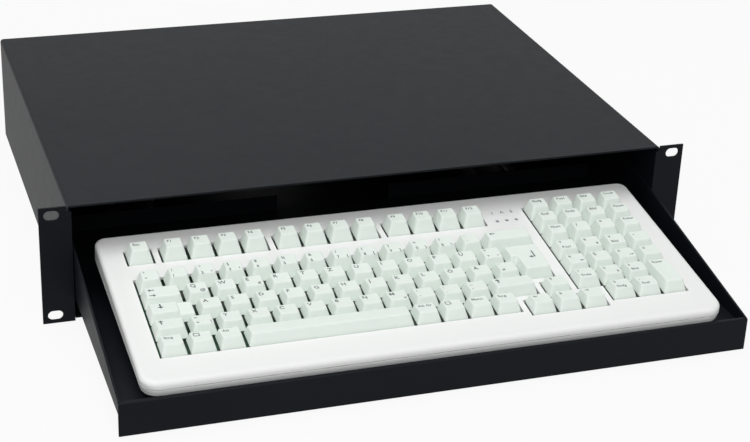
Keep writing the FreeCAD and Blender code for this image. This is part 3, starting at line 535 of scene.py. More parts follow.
def circle(shape: Shape, radius: float, height: float, sides: int) -> list[Vert]:
    """Adds a level ring of points, or one point where the radius is zero.

    Args:
        shape: the mesh under construction.
        radius: the ring's radius in millimetres.
        height: its height in millimetres.
        sides: how many points it has.

    Returns:
        The points.
    """
    turns = [2.0 * math.pi * side / sides for side in range(sides if radius else 1)]
    return [shape.verts.new((radius * MM * math.cos(turn), radius * MM * math.sin(turn), height * MM))
            for turn in turns]


def bridge(shape: Shape, rings: Sequence[Sequence[Vert]]) -> None:
    """Joins each ring of points to the next one with faces.

    Args:
        shape: the mesh under construction.
        rings: the rings, where a single point is a pole.
    """
    sides = max(len(ring) for ring in rings)
    for low, high in zip(rings, rings[1:]):
        for side in range(sides):
            here, after = side, (side + 1) % sides
            loop = [low[here % len(low)], low[after % len(low)],
                    high[after % len(high)], high[here % len(high)]]
            shape.faces.new(list(dict.fromkeys(loop)))


def softened(frame: dict, node: str, coat: Coat, reshape: Callable[[Mesh], None] | None = None) -> Mesh:
    """Copies a node's mesh and rounds its sharp edges.

    Args:
        frame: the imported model.
        node: the node's name.
        coat: how its edges are rounded.
        reshape: what moves the copy's points before it is rounded.

    Returns:
        The rounded mesh.
    """
    source = frame["nodes"][node].data
    points = [vert.co[:] for vert in source.vertices]
    mesh = bpy.data.meshes.new(node + "_soft")
    mesh.from_pydata(points, [], [poly.vertices[:] for poly in source.polygons])
    shape = bmesh.new()
    shape.from_mesh(mesh)
    bmesh.ops.remove_doubles(shape, verts=shape.verts, dist=MERGE_DISTANCE)
    bmesh.ops.dissolve_limit(shape, angle_limit=FLAT_ANGLE, verts=shape.verts, edges=shape.edges)
    shape.to_mesh(mesh)
    shape.free()
    if reshape:
        reshape(mesh)
    smooth(mesh)
    thing = loose(node + "_soft", mesh)
    bevel = thing.modifiers.new("rounding", "BEVEL")
    bevel.width = coat.width * MM
    bevel.segments = coat.segments
    bevel.limit_method = "ANGLE"
    bevel.angle_limit = ROUNDED_ANGLE
    bevel.use_clamp_overlap = True
    thing.modifiers.new("even_faces", "WEIGHTED_NORMAL")
    result = evaluated(thing)
    bpy.data.meshes.remove(mesh)
    return result


class Pattern(Enum):
    """How a repeated piece is laid out."""

    LINE = "line"
    GRID = "grid"


class Repeat:
    """A node tree that repeats one small mesh along a line or over a grid."""

    KINDS: dict[str, str] = {"Piece": "Object", "Columns": "Int", "Rows": "Int", "Step": "Vector",
                             "Start": "Vector", "Turn": "Rotation", "Finish": "Material"}

    def __init__(self, pattern: Pattern) -> None:
        """Builds the tree.

        Args:
            pattern: how the copies are laid out.
        """
        self.tree = bpy.data.node_groups.new("repeat_" + pattern.value, "GeometryNodeTree")
        self.tree.is_modifier = True
        self.bench = Bench(self.tree)
        self.inputs: dict[str, str] = {}
        sockets = self.tree.interface
        sockets.new_socket("Result", in_out="OUTPUT", socket_type="NodeSocketGeometry")
        for name, kind in self.KINDS.items():
            socket = sockets.new_socket(name, in_out="INPUT", socket_type="NodeSocket" + kind)
            self.inputs[name] = socket.identifier
        self._fill(pattern)

    def _given(self, name: str) -> Wire:
        """Gives one of the tree's own inputs."""
        return self.bench.node("NodeGroupInput", output=name)

    def _fill(self, pattern: Pattern) -> None:
        """Adds the nodes.

        Args:
            pattern: how the copies are laid out.
        """
        node = self.bench.node
        columns, rows, step = self._given("Columns"), self._given("Rows"), self._given("Step")
        if pattern is Pattern.LINE:
            points = node("GeometryNodeMeshLine", {"mode": "OFFSET"}, {"Count": columns, "Offset": step})
        else:
            wide, deep = (node("ShaderNodeSeparateXYZ", None, {0: step}, axis) for axis in (0, 1))
            points = node("GeometryNodeMeshGrid", None, {
                "Size X": wide * (columns - 1.0), "Size Y": deep * (rows - 1.0),
                "Vertices X": columns, "Vertices Y": rows})
        copy = node("GeometryNodeObjectInfo", {"transform_space": "ORIGINAL"},
                    {"Object": self._given("Piece")}, "Geometry")
        laid = node("GeometryNodeInstanceOnPoints", None, {"Points": points, "Instance": copy})
        put = node("GeometryNodeTransform", None, {
            "Geometry": laid, "Translation": self._given("Start"), "Rotation": self._given("Turn")})
        real = node("GeometryNodeRealizeInstances", None, {0: put})
        dressed = node("GeometryNodeSetMaterial", None, {0: real, "Material": self._given("Finish")})
        node("NodeGroupOutput", None, {0: dressed})

    def lay(self, mesh: Mesh, finish: Material, columns: int, start: Point, step: Point,
            rows: int = 1, turn: Point = (0.0, 0.0, 0.0)) -> Mesh:
        """Lays copies of a mesh.

        Args:
            mesh: the mesh to repeat.
            finish: the copies' material.
            columns: how many along the first direction.
            start: the first copy's place on a line, or a grid's middle, in millimetres.
            step: from one copy to the next, in millimetres.
            rows: how many along a grid's second direction.
            turn: the turn of the whole layout, in degrees about each axis.

        Returns:
            The copies as one mesh.
        """
        piece = loose("one_" + mesh.name, mesh)
        holder = loose("laid_" + mesh.name, bpy.data.meshes.new("laid_" + mesh.name))
        modifier = holder.modifiers.new("repeat", "NODES")
        modifier.node_group = self.tree
        values = {"Piece": piece, "Columns": columns, "Rows": rows, "Step": [part * MM for part in step],
                  "Start": [part * MM for part in start], "Turn": [math.radians(part) for part in turn],
                  "Finish": finish}
        for name, value in values.items():
            modifier[self.inputs[name]] = value
        result = evaluated(holder)
        bpy.data.objects.remove(piece)
        return result


# Small hardware

@dataclass(frozen=True)
class Turned:
    """A small round part, as rings of points from one pole to the other."""

    name: str
    radius: float
    levels: tuple[Place, ...]
    sides: int = 20
    sharp: float = 50.0

    def build(self) -> Mesh:
        """Turns the profile about the vertical axis.

        Returns:
            A closed mesh.
        """
        shape = bmesh.new()
        rings = [circle(shape, self.radius * share, height, self.sides) for share, height in self.levels]
        bridge(shape, rings)
        return meshed(shape, self.name, self.sharp)


BALL_RADIUS = 2.0
BALL_BANDS = 10
BALL_TURNS = [math.pi * band / BALL_BANDS for band in range(1, BALL_BANDS)]
BALL = Turned("ball", BALL_RADIUS, (
    (0.0, -BALL_RADIUS), *((math.sin(turn), -BALL_RADIUS * math.cos(turn)) for turn in BALL_TURNS),
    (0.0, BALL_RADIUS)), sides=16)
RIVET = Turned("rivet", 3.6, (
    (0.0, -0.1), (1.0, -0.1), (1.0, 0.28), (0.86, 0.576), (0.60, 0.752), (0.3, 0.8), (0.0, 0.8)))
LENS = Turned("lens", 1.2, (
    (0.0, -8.8), (1.0, -8.8), (1.0, -0.35), (0.9, -0.05), (0.62, 0.12), (0.3, 0.19), (0.0, 0.2)))


@dataclass(frozen=True)
class Screw:
    """A low round screw head with a cross recess."""

    radius: float = 3.8
    rise: float = 1.3
    sides: int = 24
    levels: tuple[Place, ...] = ((1.0, -0.3), (1.0, 0.25), (0.95, 0.60), (0.82, 0.86), (0.66, 1.0))
    sharp: float = 35.0
    recess_reach: float = 2.1
    recess_half: float = 0.42
    recess_levels: tuple[Place, ...] = ((1.0, 1.0), (0.55, 0.35))

    def build(self) -> Mesh:
        """Makes the head.

        Returns:
            The head, standing on its seat.
        """
        shape = bmesh.new()
        rings = [circle(shape, self.radius * share, self.rise * level, self.sides)
                 for share, level in self.levels]
        bridge(shape, rings)
        shape.faces.new(reversed(rings[0]))
        crosses = [self._cross(shape, share, depth) for share, depth in self.recess_levels]
        bridge(shape, crosses)
        shape.faces.new(crosses[-1])
        rims = [edge for edge in shape.edges if len(edge.link_faces) == 1]
        bmesh.ops.triangle_fill(shape, use_beauty=True, edges=rims, normal=(0.0, 0.0, 1.0))
        return meshed(shape, "screw", self.sharp)

    def _cross(self, shape: Shape, share: float, depth: float) -> list[Vert]:
        """Adds the points of a cross.

        Args:
            shape: the mesh under construction.
            share: the cross's size against its size at the top.
            depth: its level, as a share of the head's rise.

        Returns:
            Its twelve points in order.
        """
        arm, half = self.recess_reach * share, self.recess_half
        points = []
        for turn in range(4):
            for x, y in ((arm, -half), (arm, half), (half, half)):
                for _ in range(turn):
                    x, y = -y, x
                points.append(shape.verts.new((x * MM, y * MM, self.rise * depth * MM)))
        return points


# Kit, housing, slides and tray

@dataclass
class Kit:
    """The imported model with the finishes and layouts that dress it."""

    frame: dict
    materials: dict[Look, Material] = field(init=False)
    layouts: dict[Pattern, Repeat] = field(init=False)

    def __post_init__(self) -> None:
        """Makes the materials and the layouts."""
        self.materials = {look: look.value.build() for look in Look}
        self.layouts = {pattern: Repeat(pattern) for pattern in Pattern}

    def dress(self, node: str, body: str, coat: Coat, reshape: Callable[[Mesh], None] | None = None) -> None:
        """Makes a node's rounded copy a piece.

        Args:
            node: the node that the piece stands for.
            body: the body that it rides on.
            coat: its rounding and finish.
            reshape: what moves its points before it is rounded.
        """
        mesh = clad(softened(self.frame, node, coat, reshape), self.materials[coat.look])
        finish_piece(node + "_" + coat.word, mesh, body, coat.slot, node)


@dataclass
class Housing:
    """The sheet-steel case that bolts to the rack."""

    kit: Kit
    screw: Screw = Screw()
    screw_columns: int = 3
    screw_x: float = 180.5
    screw_top: float = 35.55
    screw_bottom: float = -34.3
    panel_y: float = 336.6

    def build(self) -> None:
        """Makes the housing's pieces."""
        for node in ("housing_shell", "left_rack_ear", "right_rack_ear", "base_plate", "rear_panel"):
            self.kit.dress(node, "housing", SHEET)
        start = (0.0, self.panel_y, (self.screw_top + self.screw_bottom) / 2.0)
        step = (self.screw_x, self.screw_top - self.screw_bottom, 0.0)
        screws = self.kit.layouts[Pattern.GRID].lay(
            self.screw.build(), self.kit.materials[Look.FASTENER], self.screw_columns, start, step,
            rows=2, turn=(-90.0, 0.0, 0.0))
        finish_piece("rear_panel_screws", screws, "housing", "steel")


@dataclass
class Slides:
    """The two ball slides under the tray."""

    kit: Kit
    rail_x: float = 150.0
    ball_x: float = 14.0
    ball_y: float = 54.0
    ball_z: float = -34.2
    ball_pitch: float = 14.0
    balls_per_side: int = 4
    floor_top: float = -26.35
    rivet_y: float = -22.2
    rivet_pitch: float = 105.0
    rivets_per_side: int = 3

    def build(self) -> None:
        """Makes the rails, cages, balls and rivets."""
        grid, materials = self.kit.layouts[Pattern.GRID], self.kit.materials
        bodies = {"outer_rail": "housing", "inner_rail": "tray", "ball_cage": "ball_cages"}
        step = (2.0 * self.ball_x, self.ball_pitch, 0.0)
        for side, x in (("left", -self.rail_x), ("right", self.rail_x)):
            for part, body in bodies.items():
                self.kit.dress(side + "_" + part, body, STRIP)
            start = (x, self.ball_y, self.ball_z)
            balls = grid.lay(BALL.build(), materials[Look.BEARING], 2, start, step, rows=self.balls_per_side)
            finish_piece(side + "_slide_balls", balls, "ball_cages", "steel", side + "_rail_balls")
        step = (2.0 * self.rail_x, self.rivet_pitch, 0.0)
        start = (0.0, self.rivet_y, self.floor_top)
        rivets = grid.lay(RIVET.build(), materials[Look.PAINT], 2, start, step, rows=self.rivets_per_side)
        finish_piece("tray_floor_rivets", rivets, "tray", "black_paint")


@dataclass
class Tray:
    """The sheet-steel pan with its folded front strip."""

    kit: Kit

    def build(self) -> None:
        """Makes the pan and the strip."""
        for node in ("tray_pan", "tray_front"):
            self.kit.dress(node, "tray", SHEET)


# Keyboard

@dataclass
class Lettering:
    """Small printed marks, made from type and from outlines."""

    resolution: int = 2
    cap_share: float = 0.70
    weight: float = 0.018
    depth: float = 0.08
    known: dict[str, tuple[list[Place], Faces]] = field(default_factory=dict)

    def shape(self, text: str) -> tuple[list[Place], Faces]:
        """Gives a text's flat mesh for a capital height of one.

        Args:
            text: the words, or the name of a drawn mark.

        Returns:
            Its points and its faces.
        """
        if text not in self.known:
            self.known[text] = MARKS[text] if text in MARKS else self._typeset(text)
        return self.known[text]

    def width(self, text: str) -> float:
        """Gives a text's width for a capital height of one."""
        return max(x for x, _ in self.shape(text)[0])

    def _typeset(self, text: str) -> tuple[list[Place], Faces]:
        """Makes a flat mesh from type.

        Args:
            text: the words.

        Returns:
            Its points and faces.
        """
        curve = bpy.data.curves.new("type", "FONT")
        curve.body = text
        curve.size = 1.0 / self.cap_share
        curve.resolution_u = self.resolution
        curve.offset = self.weight
        mesh = evaluated(loose("type", curve))
        left = min(vert.co.x for vert in mesh.vertices)
        points = [(vert.co.x - left, vert.co.y) for vert in mesh.vertices]
        faces = [tuple(poly.vertices) for poly in mesh.polygons]
        bpy.data.meshes.remove(mesh)
        bpy.data.curves.remove(curve)
        return points, faces

    def put(self, text: str, height: float, corner: Place, surface: Callable[[float, float], float]) -> Mesh:
        """Prints a text on a surface, closed with edges and an underside that lie in the plastic.

        Args:
            text: the words, or the name of a drawn mark.
            height: the capital height in millimetres.
            corner: the upper left corner of the text in millimetres.
            surface: gives the surface's height over a point.

        Returns:
            The mesh on the surface.
        """
        points, faces = self.shape(text)
        flat = [(corner[0] + x * height, corner[1] + (y - 1.0) * height) for x, y in points]
        mesh = bpy.data.meshes.new("flat_mark")
        mesh.from_pydata([(x * MM, y * MM, surface(x, y) * MM) for x, y in flat], [], faces)
        work = bmesh.new()
        work.from_mesh(mesh)
        bpy.data.meshes.remove(mesh)
        copy = bmesh.ops.extrude_face_region(work, geom=list(work.faces), use_keep_orig=True)
        under = [item for item in copy["geom"] if isinstance(item, Vert)]
        bmesh.ops.translate(work, verts=under, vec=(0.0, 0.0, -self.depth * MM))
        return meshed(work, "mark")


ARROW = [(0.0, 0.5), (0.45, 0.95), (0.45, 0.62), (1.2, 0.62), (1.2, 0.38), (0.45, 0.38), (0.45, 0.05)]
ARROW_FACES = [(0, 6, 1), (2, 5, 4, 3)]
FRAME_OUTLINE = [(0.0, 0.0), (1.1, 0.0), (1.1, 1.0), (0.0, 1.0), (0.14, 0.14), (0.96, 0.14), (0.96, 0.86),
                 (0.14, 0.86)]
FRAME_FACES = [(0, 1, 5, 4), (1, 2, 6, 5), (2, 3, 7, 6), (3, 0, 4, 7)]
BENT = [(0.0, 0.18), (0.25, 0.0), (0.25, 0.13), (0.25, 0.23), (0.25, 0.36), (0.42, 0.13), (0.42, 0.23),
        (0.52, 0.13), (0.52, 1.0), (0.42, 1.0)]
BENT_FACES = [(0, 1, 2, 3, 4), (2, 5, 6, 3), (5, 7, 8, 9, 6)]
ARROW_MIDDLE = (0.6, 0.5)


def swung(quarters: int) -> list[Place]:
    """Turns the arrow by quarter turns about its middle.

    Args:
        quarters: how many quarter turns, to the right.

    Returns:
        The turned outline.
    """
    middle_x, middle_y = ARROW_MIDDLE
    result = [(x - middle_x, y - middle_y) for x, y in ARROW]
    for _ in range(quarters):
        result = [(y, -x) for x, y in result]
    left = min(x for x, _ in result)
    return [(x - left, y + middle_y) for x, y in result]


MARKS = {
    "to_left": (ARROW, ARROW_FACES),
    "to_back": (swung(1), ARROW_FACES),
    "to_right": (swung(2), ARROW_FACES),
    "to_front": (swung(3), ARROW_FACES),
    "frame": (FRAME_OUTLINE, FRAME_FACES),
    "bent": (BENT, BENT_FACES),
}


@dataclass(frozen=True)
class RowShape:
    """The height and lean of a row's caps."""

    height: float
    lean: float


class Row(Enum):
    """The four cap profiles."""

    TOP = RowShape(9.0, 0.5)
    UPPER = RowShape(7.1, 2.5)
    HOME = RowShape(6.6, 5.0)
    LOWER = RowShape(6.5, 8.0)


class Crown(Enum):
    """How a cap's top is curved."""

    DISHED = "dished"
    ROUNDED = "rounded"
    FLAT = "flat"


@dataclass(frozen=True)
class KeyRun:
    """Equal caps side by side, with the marks printed on each."""

    node: str
    across: float
    away: float
    row: Row
    marks: tuple[tuple[str, ...], ...]
    wide: float = 1.0
    deep: float = 1.0
    crown: Crown = Crown.DISHED
    mark_height: float | None = None
    mark_inset: float = 1.7


def single(*words: str) -> tuple[tuple[str, ...], ...]:
    """Gives one mark to each cap."""
    return tuple((word,) for word in words)


NUMBERS = (("°", "^"), ("!", "1"), ('"', "2", "²"), ("§", "3", "³"), ("$", "4"), ("%", "5"), ("&", "6"),
           ("/", "7", "{"), ("(", "8", "["), (")", "9", "]"), ("=", "0", "}"), ("?", "ß", "\\"), ("`", "´"))
UPPER_LETTERS = (("Q", "", "@"), ("W",), ("E", "", "€"), *single(*"RTZUIOPÜ"), ("*", "+", "~"))
LOWER_LETTERS = ((">", "<", "|"), *single(*"YXCVBN"), ("M", "", "µ"), (";", ","), (":", "."), ("_", "-"))
PAD_UPPER = (("7", "Pos1"), ("8", "", "to_back"), ("9", "Bild"), ("-",))
PAD_MIDDLE = (("4", "", "to_left"), ("5",), ("6", "", "to_right"), ("+",))
PAD_LOWER = (("1", "Ende"), ("2", "", "to_front"), ("3", "Bild"))
KEY_RUNS = (
    KeyRun("escape_key", 0.0, 6.0, Row.TOP, single("Esc")),
    KeyRun("function_keys_left", 1.25, 6.0, Row.TOP, single("F1", "F2", "F3", "F4")),
    KeyRun("function_keys_middle", 5.5, 6.0, Row.TOP, single("F5", "F6", "F7", "F8")),
    KeyRun("function_keys_right", 9.75, 6.0, Row.TOP, single("F9", "F10", "F11", "F12")),
    KeyRun("number_keys", 0.0, 4.0, Row.TOP, NUMBERS),
    KeyRun("backspace_key", 13.0, 4.0, Row.TOP, single("to_left"), wide=2.0, mark_height=3.4),
    KeyRun("tab_key", 0.0, 3.0, Row.UPPER, (("to_left", "to_right"),), wide=1.5, mark_height=3.6),
    KeyRun("upper_letter_keys", 1.5, 3.0, Row.UPPER, UPPER_LETTERS),
    KeyRun("home_letter_keys", 1.75, 2.0, Row.HOME, (*single(*"ASDFGHJKLÖÄ"), ("'", "#"))),
    KeyRun("left_shift_key", 0.0, 1.0, Row.LOWER, single("to_back"), wide=1.25, mark_height=4.2),
    KeyRun("lower_letter_keys", 1.25, 1.0, Row.LOWER, LOWER_LETTERS),
    KeyRun("right_shift_key", 12.25, 1.0, Row.LOWER, single("to_back"), wide=1.75, mark_height=4.2),
    KeyRun("left_control_key", 0.0, 0.0, Row.LOWER, single("Strg")),
    KeyRun("left_system_key", 1.0, 0.0, Row.LOWER, single("frame"), mark_height=3.8),
    KeyRun("left_alt_key", 2.0, 0.0, Row.LOWER, single("Alt")),
    KeyRun("space_bar", 3.0, 0.0, Row.LOWER, ((),), wide=6.0, crown=Crown.ROUNDED),
    KeyRun("right_alt_key", 9.0, 0.0, Row.LOWER, single("Alt Gr")),
    KeyRun("right_system_key", 10.0, 0.0, Row.LOWER, single("frame"), mark_height=3.8),
    KeyRun("menu_key", 11.0, 0.0, Row.LOWER, single("Menu")),
    KeyRun("right_control_key", 12.0, 0.0, Row.LOWER, single("Strg")),
    KeyRun("left_arrow_key", 13.25, -0.3, Row.LOWER, single("to_left")),
    KeyRun("down_arrow_key", 14.25, -0.3, Row.LOWER, single("to_front")),
    KeyRun("right_arrow_key", 15.25, -0.3, Row.LOWER, single("to_right")),
    KeyRun("up_arrow_key", 14.25, 0.7, Row.LOWER, single("to_back")),
    KeyRun("navigation_keys_upper", 15.5, 6.0, Row.TOP, single("Einfg", "Pos1", "Bild", "Druck")),
    KeyRun("navigation_keys_lower", 15.5, 5.0, Row.TOP, single("Entf", "Ende", "Bild", "Pause")),
    KeyRun("pad_keys_top", 15.5, 4.0, Row.TOP, single("Num", "/", "*", "Rollen")),
    KeyRun("pad_keys_upper", 15.5, 3.0, Row.UPPER, PAD_UPPER),
    KeyRun("pad_keys_middle", 15.5, 2.0, Row.HOME, PAD_MIDDLE),
    KeyRun("pad_keys_lower", 15.5, 1.0, Row.LOWER, PAD_LOWER),
    KeyRun("pad_keys_bottom", 16.5, 0.0, Row.LOWER, (("0", "Einfg"), (",", "Entf"))),
    KeyRun("pad_enter_key", 18.5, 0.0, Row.LOWER, single("Enter"), deep=2.0),
)
RETURN_KEY = KeyRun("enter_key", 13.5, 2.0, Row.HOME, (("", "", "bent"),), wide=1.5, deep=2.0,
                    mark_height=9.0, mark_inset=5.5)
CAPS_LOCK_KEY = KeyRun("caps_lock_key", 0.0, 2.0, Row.HOME, single("to_front"), wide=1.25,
                       mark_height=4.6, mark_inset=4.6)


@dataclass
class Cap:
    """One keycap's outside, as rings of points from its hollow to the middle of its top."""

    corners: list[Place]
    middle_y: float
    row: RowShape
    crown: Crown = Crown.DISHED
    skirt: float = -0.6
    side_draft: float = math.tan(math.radians(16.0))
    front_draft: float = math.tan(math.radians(23.0))
    back_draft: float = math.tan(math.radians(10.0))
    deep: float = 1.0
    dish: float = 0.4
    crown_drop: float = 0.45
    lid_insets: tuple[float, ...] = (0.4, 1.9, 3.4)
    edge: float = 0.5
    edge_inset: float = 0.375
    edge_turns: tuple[float, ...] = (30.0, 60.0, 90.0)
    support: float = 0.03
    wall: float = 1.2
    top_skin: float = 1.9
    foot_radius: float = 0.9
    top_radius: float = 1.4
    least_radius: float = 0.5
    radius_loss: float = 0.35
    arc_steps: int = 3
    side_spans: int = 3
    span: float = 4.0
    sharp: float = 60.0
    shape: Shape = field(default_factory=bmesh.new)

    @property
    def tall(self) -> float:
        """Gives the height from the skirt to the middle of the top."""
        return self.row.height - self.skirt

    @property
    def slope(self) -> float:
        """Gives how far the top falls per millimetre from front to back."""
        return math.tan(math.radians(self.row.lean)) / self.deep

    def plane(self, y: float) -> float:
        """Gives the height of the flat top over a line across the cap."""
        return self.row.height - (y - self.middle_y) * self.slope

    def top(self, x: float, y: float) -> float:
        """Gives the height of the finished top.

        Args:
            x: place across the cap.
            y: place from its front.

        Returns:
            The height in millimetres.
        """
        xs, ys = zip(*self.corners)
        if self.crown is Crown.DISHED:
            half = (max(xs) - min(xs)) / 2.0 - self.side_draft * self.tall
            share = abs(x - (max(xs) + min(xs)) / 2.0) / half
            level = 1.0 - (self.edge_inset + self.lid_insets[-1]) / half
            return self.plane(y) - self.dish * (1.0 - min(1.0, max(level, share)) ** 2)
        if self.crown is Crown.ROUNDED:
            share = min(1.0, abs(y - self.middle_y) / ((max(ys) - min(ys)) / 2.0))
            return self.plane(y) - self.crown_drop * share ** 2
        return self.plane(y)

    def corner(self, index: int, rise: float, inset: float) -> Place:
        """Gives one corner of the cap's plan at a level.

        Args:
            index: which corner.
            rise: the level, from 0 at the skirt to 1 at the top.
            inset: how far the plan is drawn in.

        Returns:
            The corner's place.
        """
        here, before = self.corners[index], self.corners[index - 1]
        after = self.corners[(index + 1) % len(self.corners)]
        arrives_level = abs(before[1] - here[1]) < TINY
        run = here[0] - before[0] if arrives_level else after[0] - here[0]
        climb = after[1] - here[1] if arrives_level else here[1] - before[1]
        facing = -1.0 if run > 0 else 1.0
        side = 1.0 if climb > 0 else -1.0
        lean = facing * rise * (self.front_draft if facing < 0 else self.back_draft)
        tall = self.tall + self.middle_y * self.slope
        y = (here[1] - facing * inset - lean * tall) / (1.0 - lean * self.slope)
        x = here[0] - side * (inset + self.side_draft * rise * (self.plane(y) - self.skirt))
        return x, y

    def ring(self, rise: float, inset: float = 0.0, drop: float = 0.0,
             flat: float | None = None) -> list[Vert]:
        """Adds one ring of points.

        Args:
            rise: the level, from 0 at the skirt to 1 at the top.
            inset: how far the plan is drawn in.
            drop: how far below the level the points lie.
            flat: one height for all the points, instead of the level.

        Returns:
            The ring's points.
        """
        points = []
        chains = self.rounded_corners(rise, inset)
        for index, chain in enumerate(chains):
            points += chain
            following = chains[(index + 1) % len(chains)][0]
            steps = self.divisions(index)
            points += [chain[-1].lerp(following, step / steps) for step in range(1, steps)]
        heights = [self.skirt + rise * (self.top(*point) - self.skirt) - drop if flat is None else flat
                   for point in points]
        return [self.shape.verts.new((point.x * MM, point.y * MM, height * MM))
                for point, height in zip(points, heights)]

    def rounded_corners(self, rise: float, inset: float) -> list[list[Vector]]:
        """Rounds the corners of the cap's plan at a level.

        Args:
            rise: the level, from 0 at the skirt to 1 at the top.
            inset: how far the plan is drawn in.

        Returns:
            A chain of points for each corner.
        """
        plan = [Vector(self.corner(index, rise, inset)) for index in range(len(self.corners))]
        radius = self.foot_radius + (self.top_radius - self.foot_radius) * rise - self.radius_loss * inset
        radius = max(self.least_radius, radius)
        chains = []
        for index, here in enumerate(plan):
            into = (here - plan[index - 1]).normalized()
            out = (plan[(index + 1) % len(plan)] - here).normalized()
            turn = into.x * out.y - into.y * out.x
            start = here - into * radius
            heart = start + Vector((-into.y, into.x)) * math.copysign(radius, turn)
            swing = math.asin(max(-1.0, min(1.0, turn))) / self.arc_steps
            chains.append([heart + Matrix.Rotation(swing * step, 2) @ (start - heart)
                           for step in range(self.arc_steps + 1)])
        return chains

    def divisions(self, index: int) -> int:
        """Gives how many spans the straight edge after a corner is split in."""
        (x, y), (next_x, next_y) = self.corners[index], self.corners[(index + 1) % len(self.corners)]
        return max(2, round(abs(next_x - x) / self.span)) if abs(next_y - y) < TINY else self.side_spans

    def rings(self) -> list[list[Vert]]:
        """Adds all rings.

        Returns:
            The rings, from the hollow's ceiling to the middle of the top.
        """
        ceiling = (self.tall - self.top_skin) / self.tall
        under = min(self.plane(y) for _, y in self.corners) - self.top_skin
        shoulder = 1.0 - self.edge / self.tall
        levels = (0.0, self.support, shoulder * 0.5, shoulder - self.support, shoulder)
        rings = [self.ring(ceiling, self.wall, flat=under), self.ring(0.0, self.wall)]
        rings += [self.ring(level) for level in levels]
        for turn in self.edge_turns:
            lift, draw = math.sin(math.radians(turn)), 1.0 - math.cos(math.radians(turn))
            rings.append(self.ring(1.0, self.edge_inset * draw, self.edge * (1.0 - lift)))
        return rings + [self.ring(1.0, self.edge_inset + inset) for inset in self.lid_insets]

    def build(self) -> Mesh:
        """Makes the cap's mesh.

        Returns:
            The closed, smooth mesh.
        """
        rings = self.rings()
        bridge(self.shape, rings)
        self.shape.faces.new(reversed(rings[0]))
        lid = self.shape.faces.new(rings[-1])
        bmesh.ops.triangulate(self.shape, faces=[lid])
        return meshed(self.shape, "cap", self.sharp)


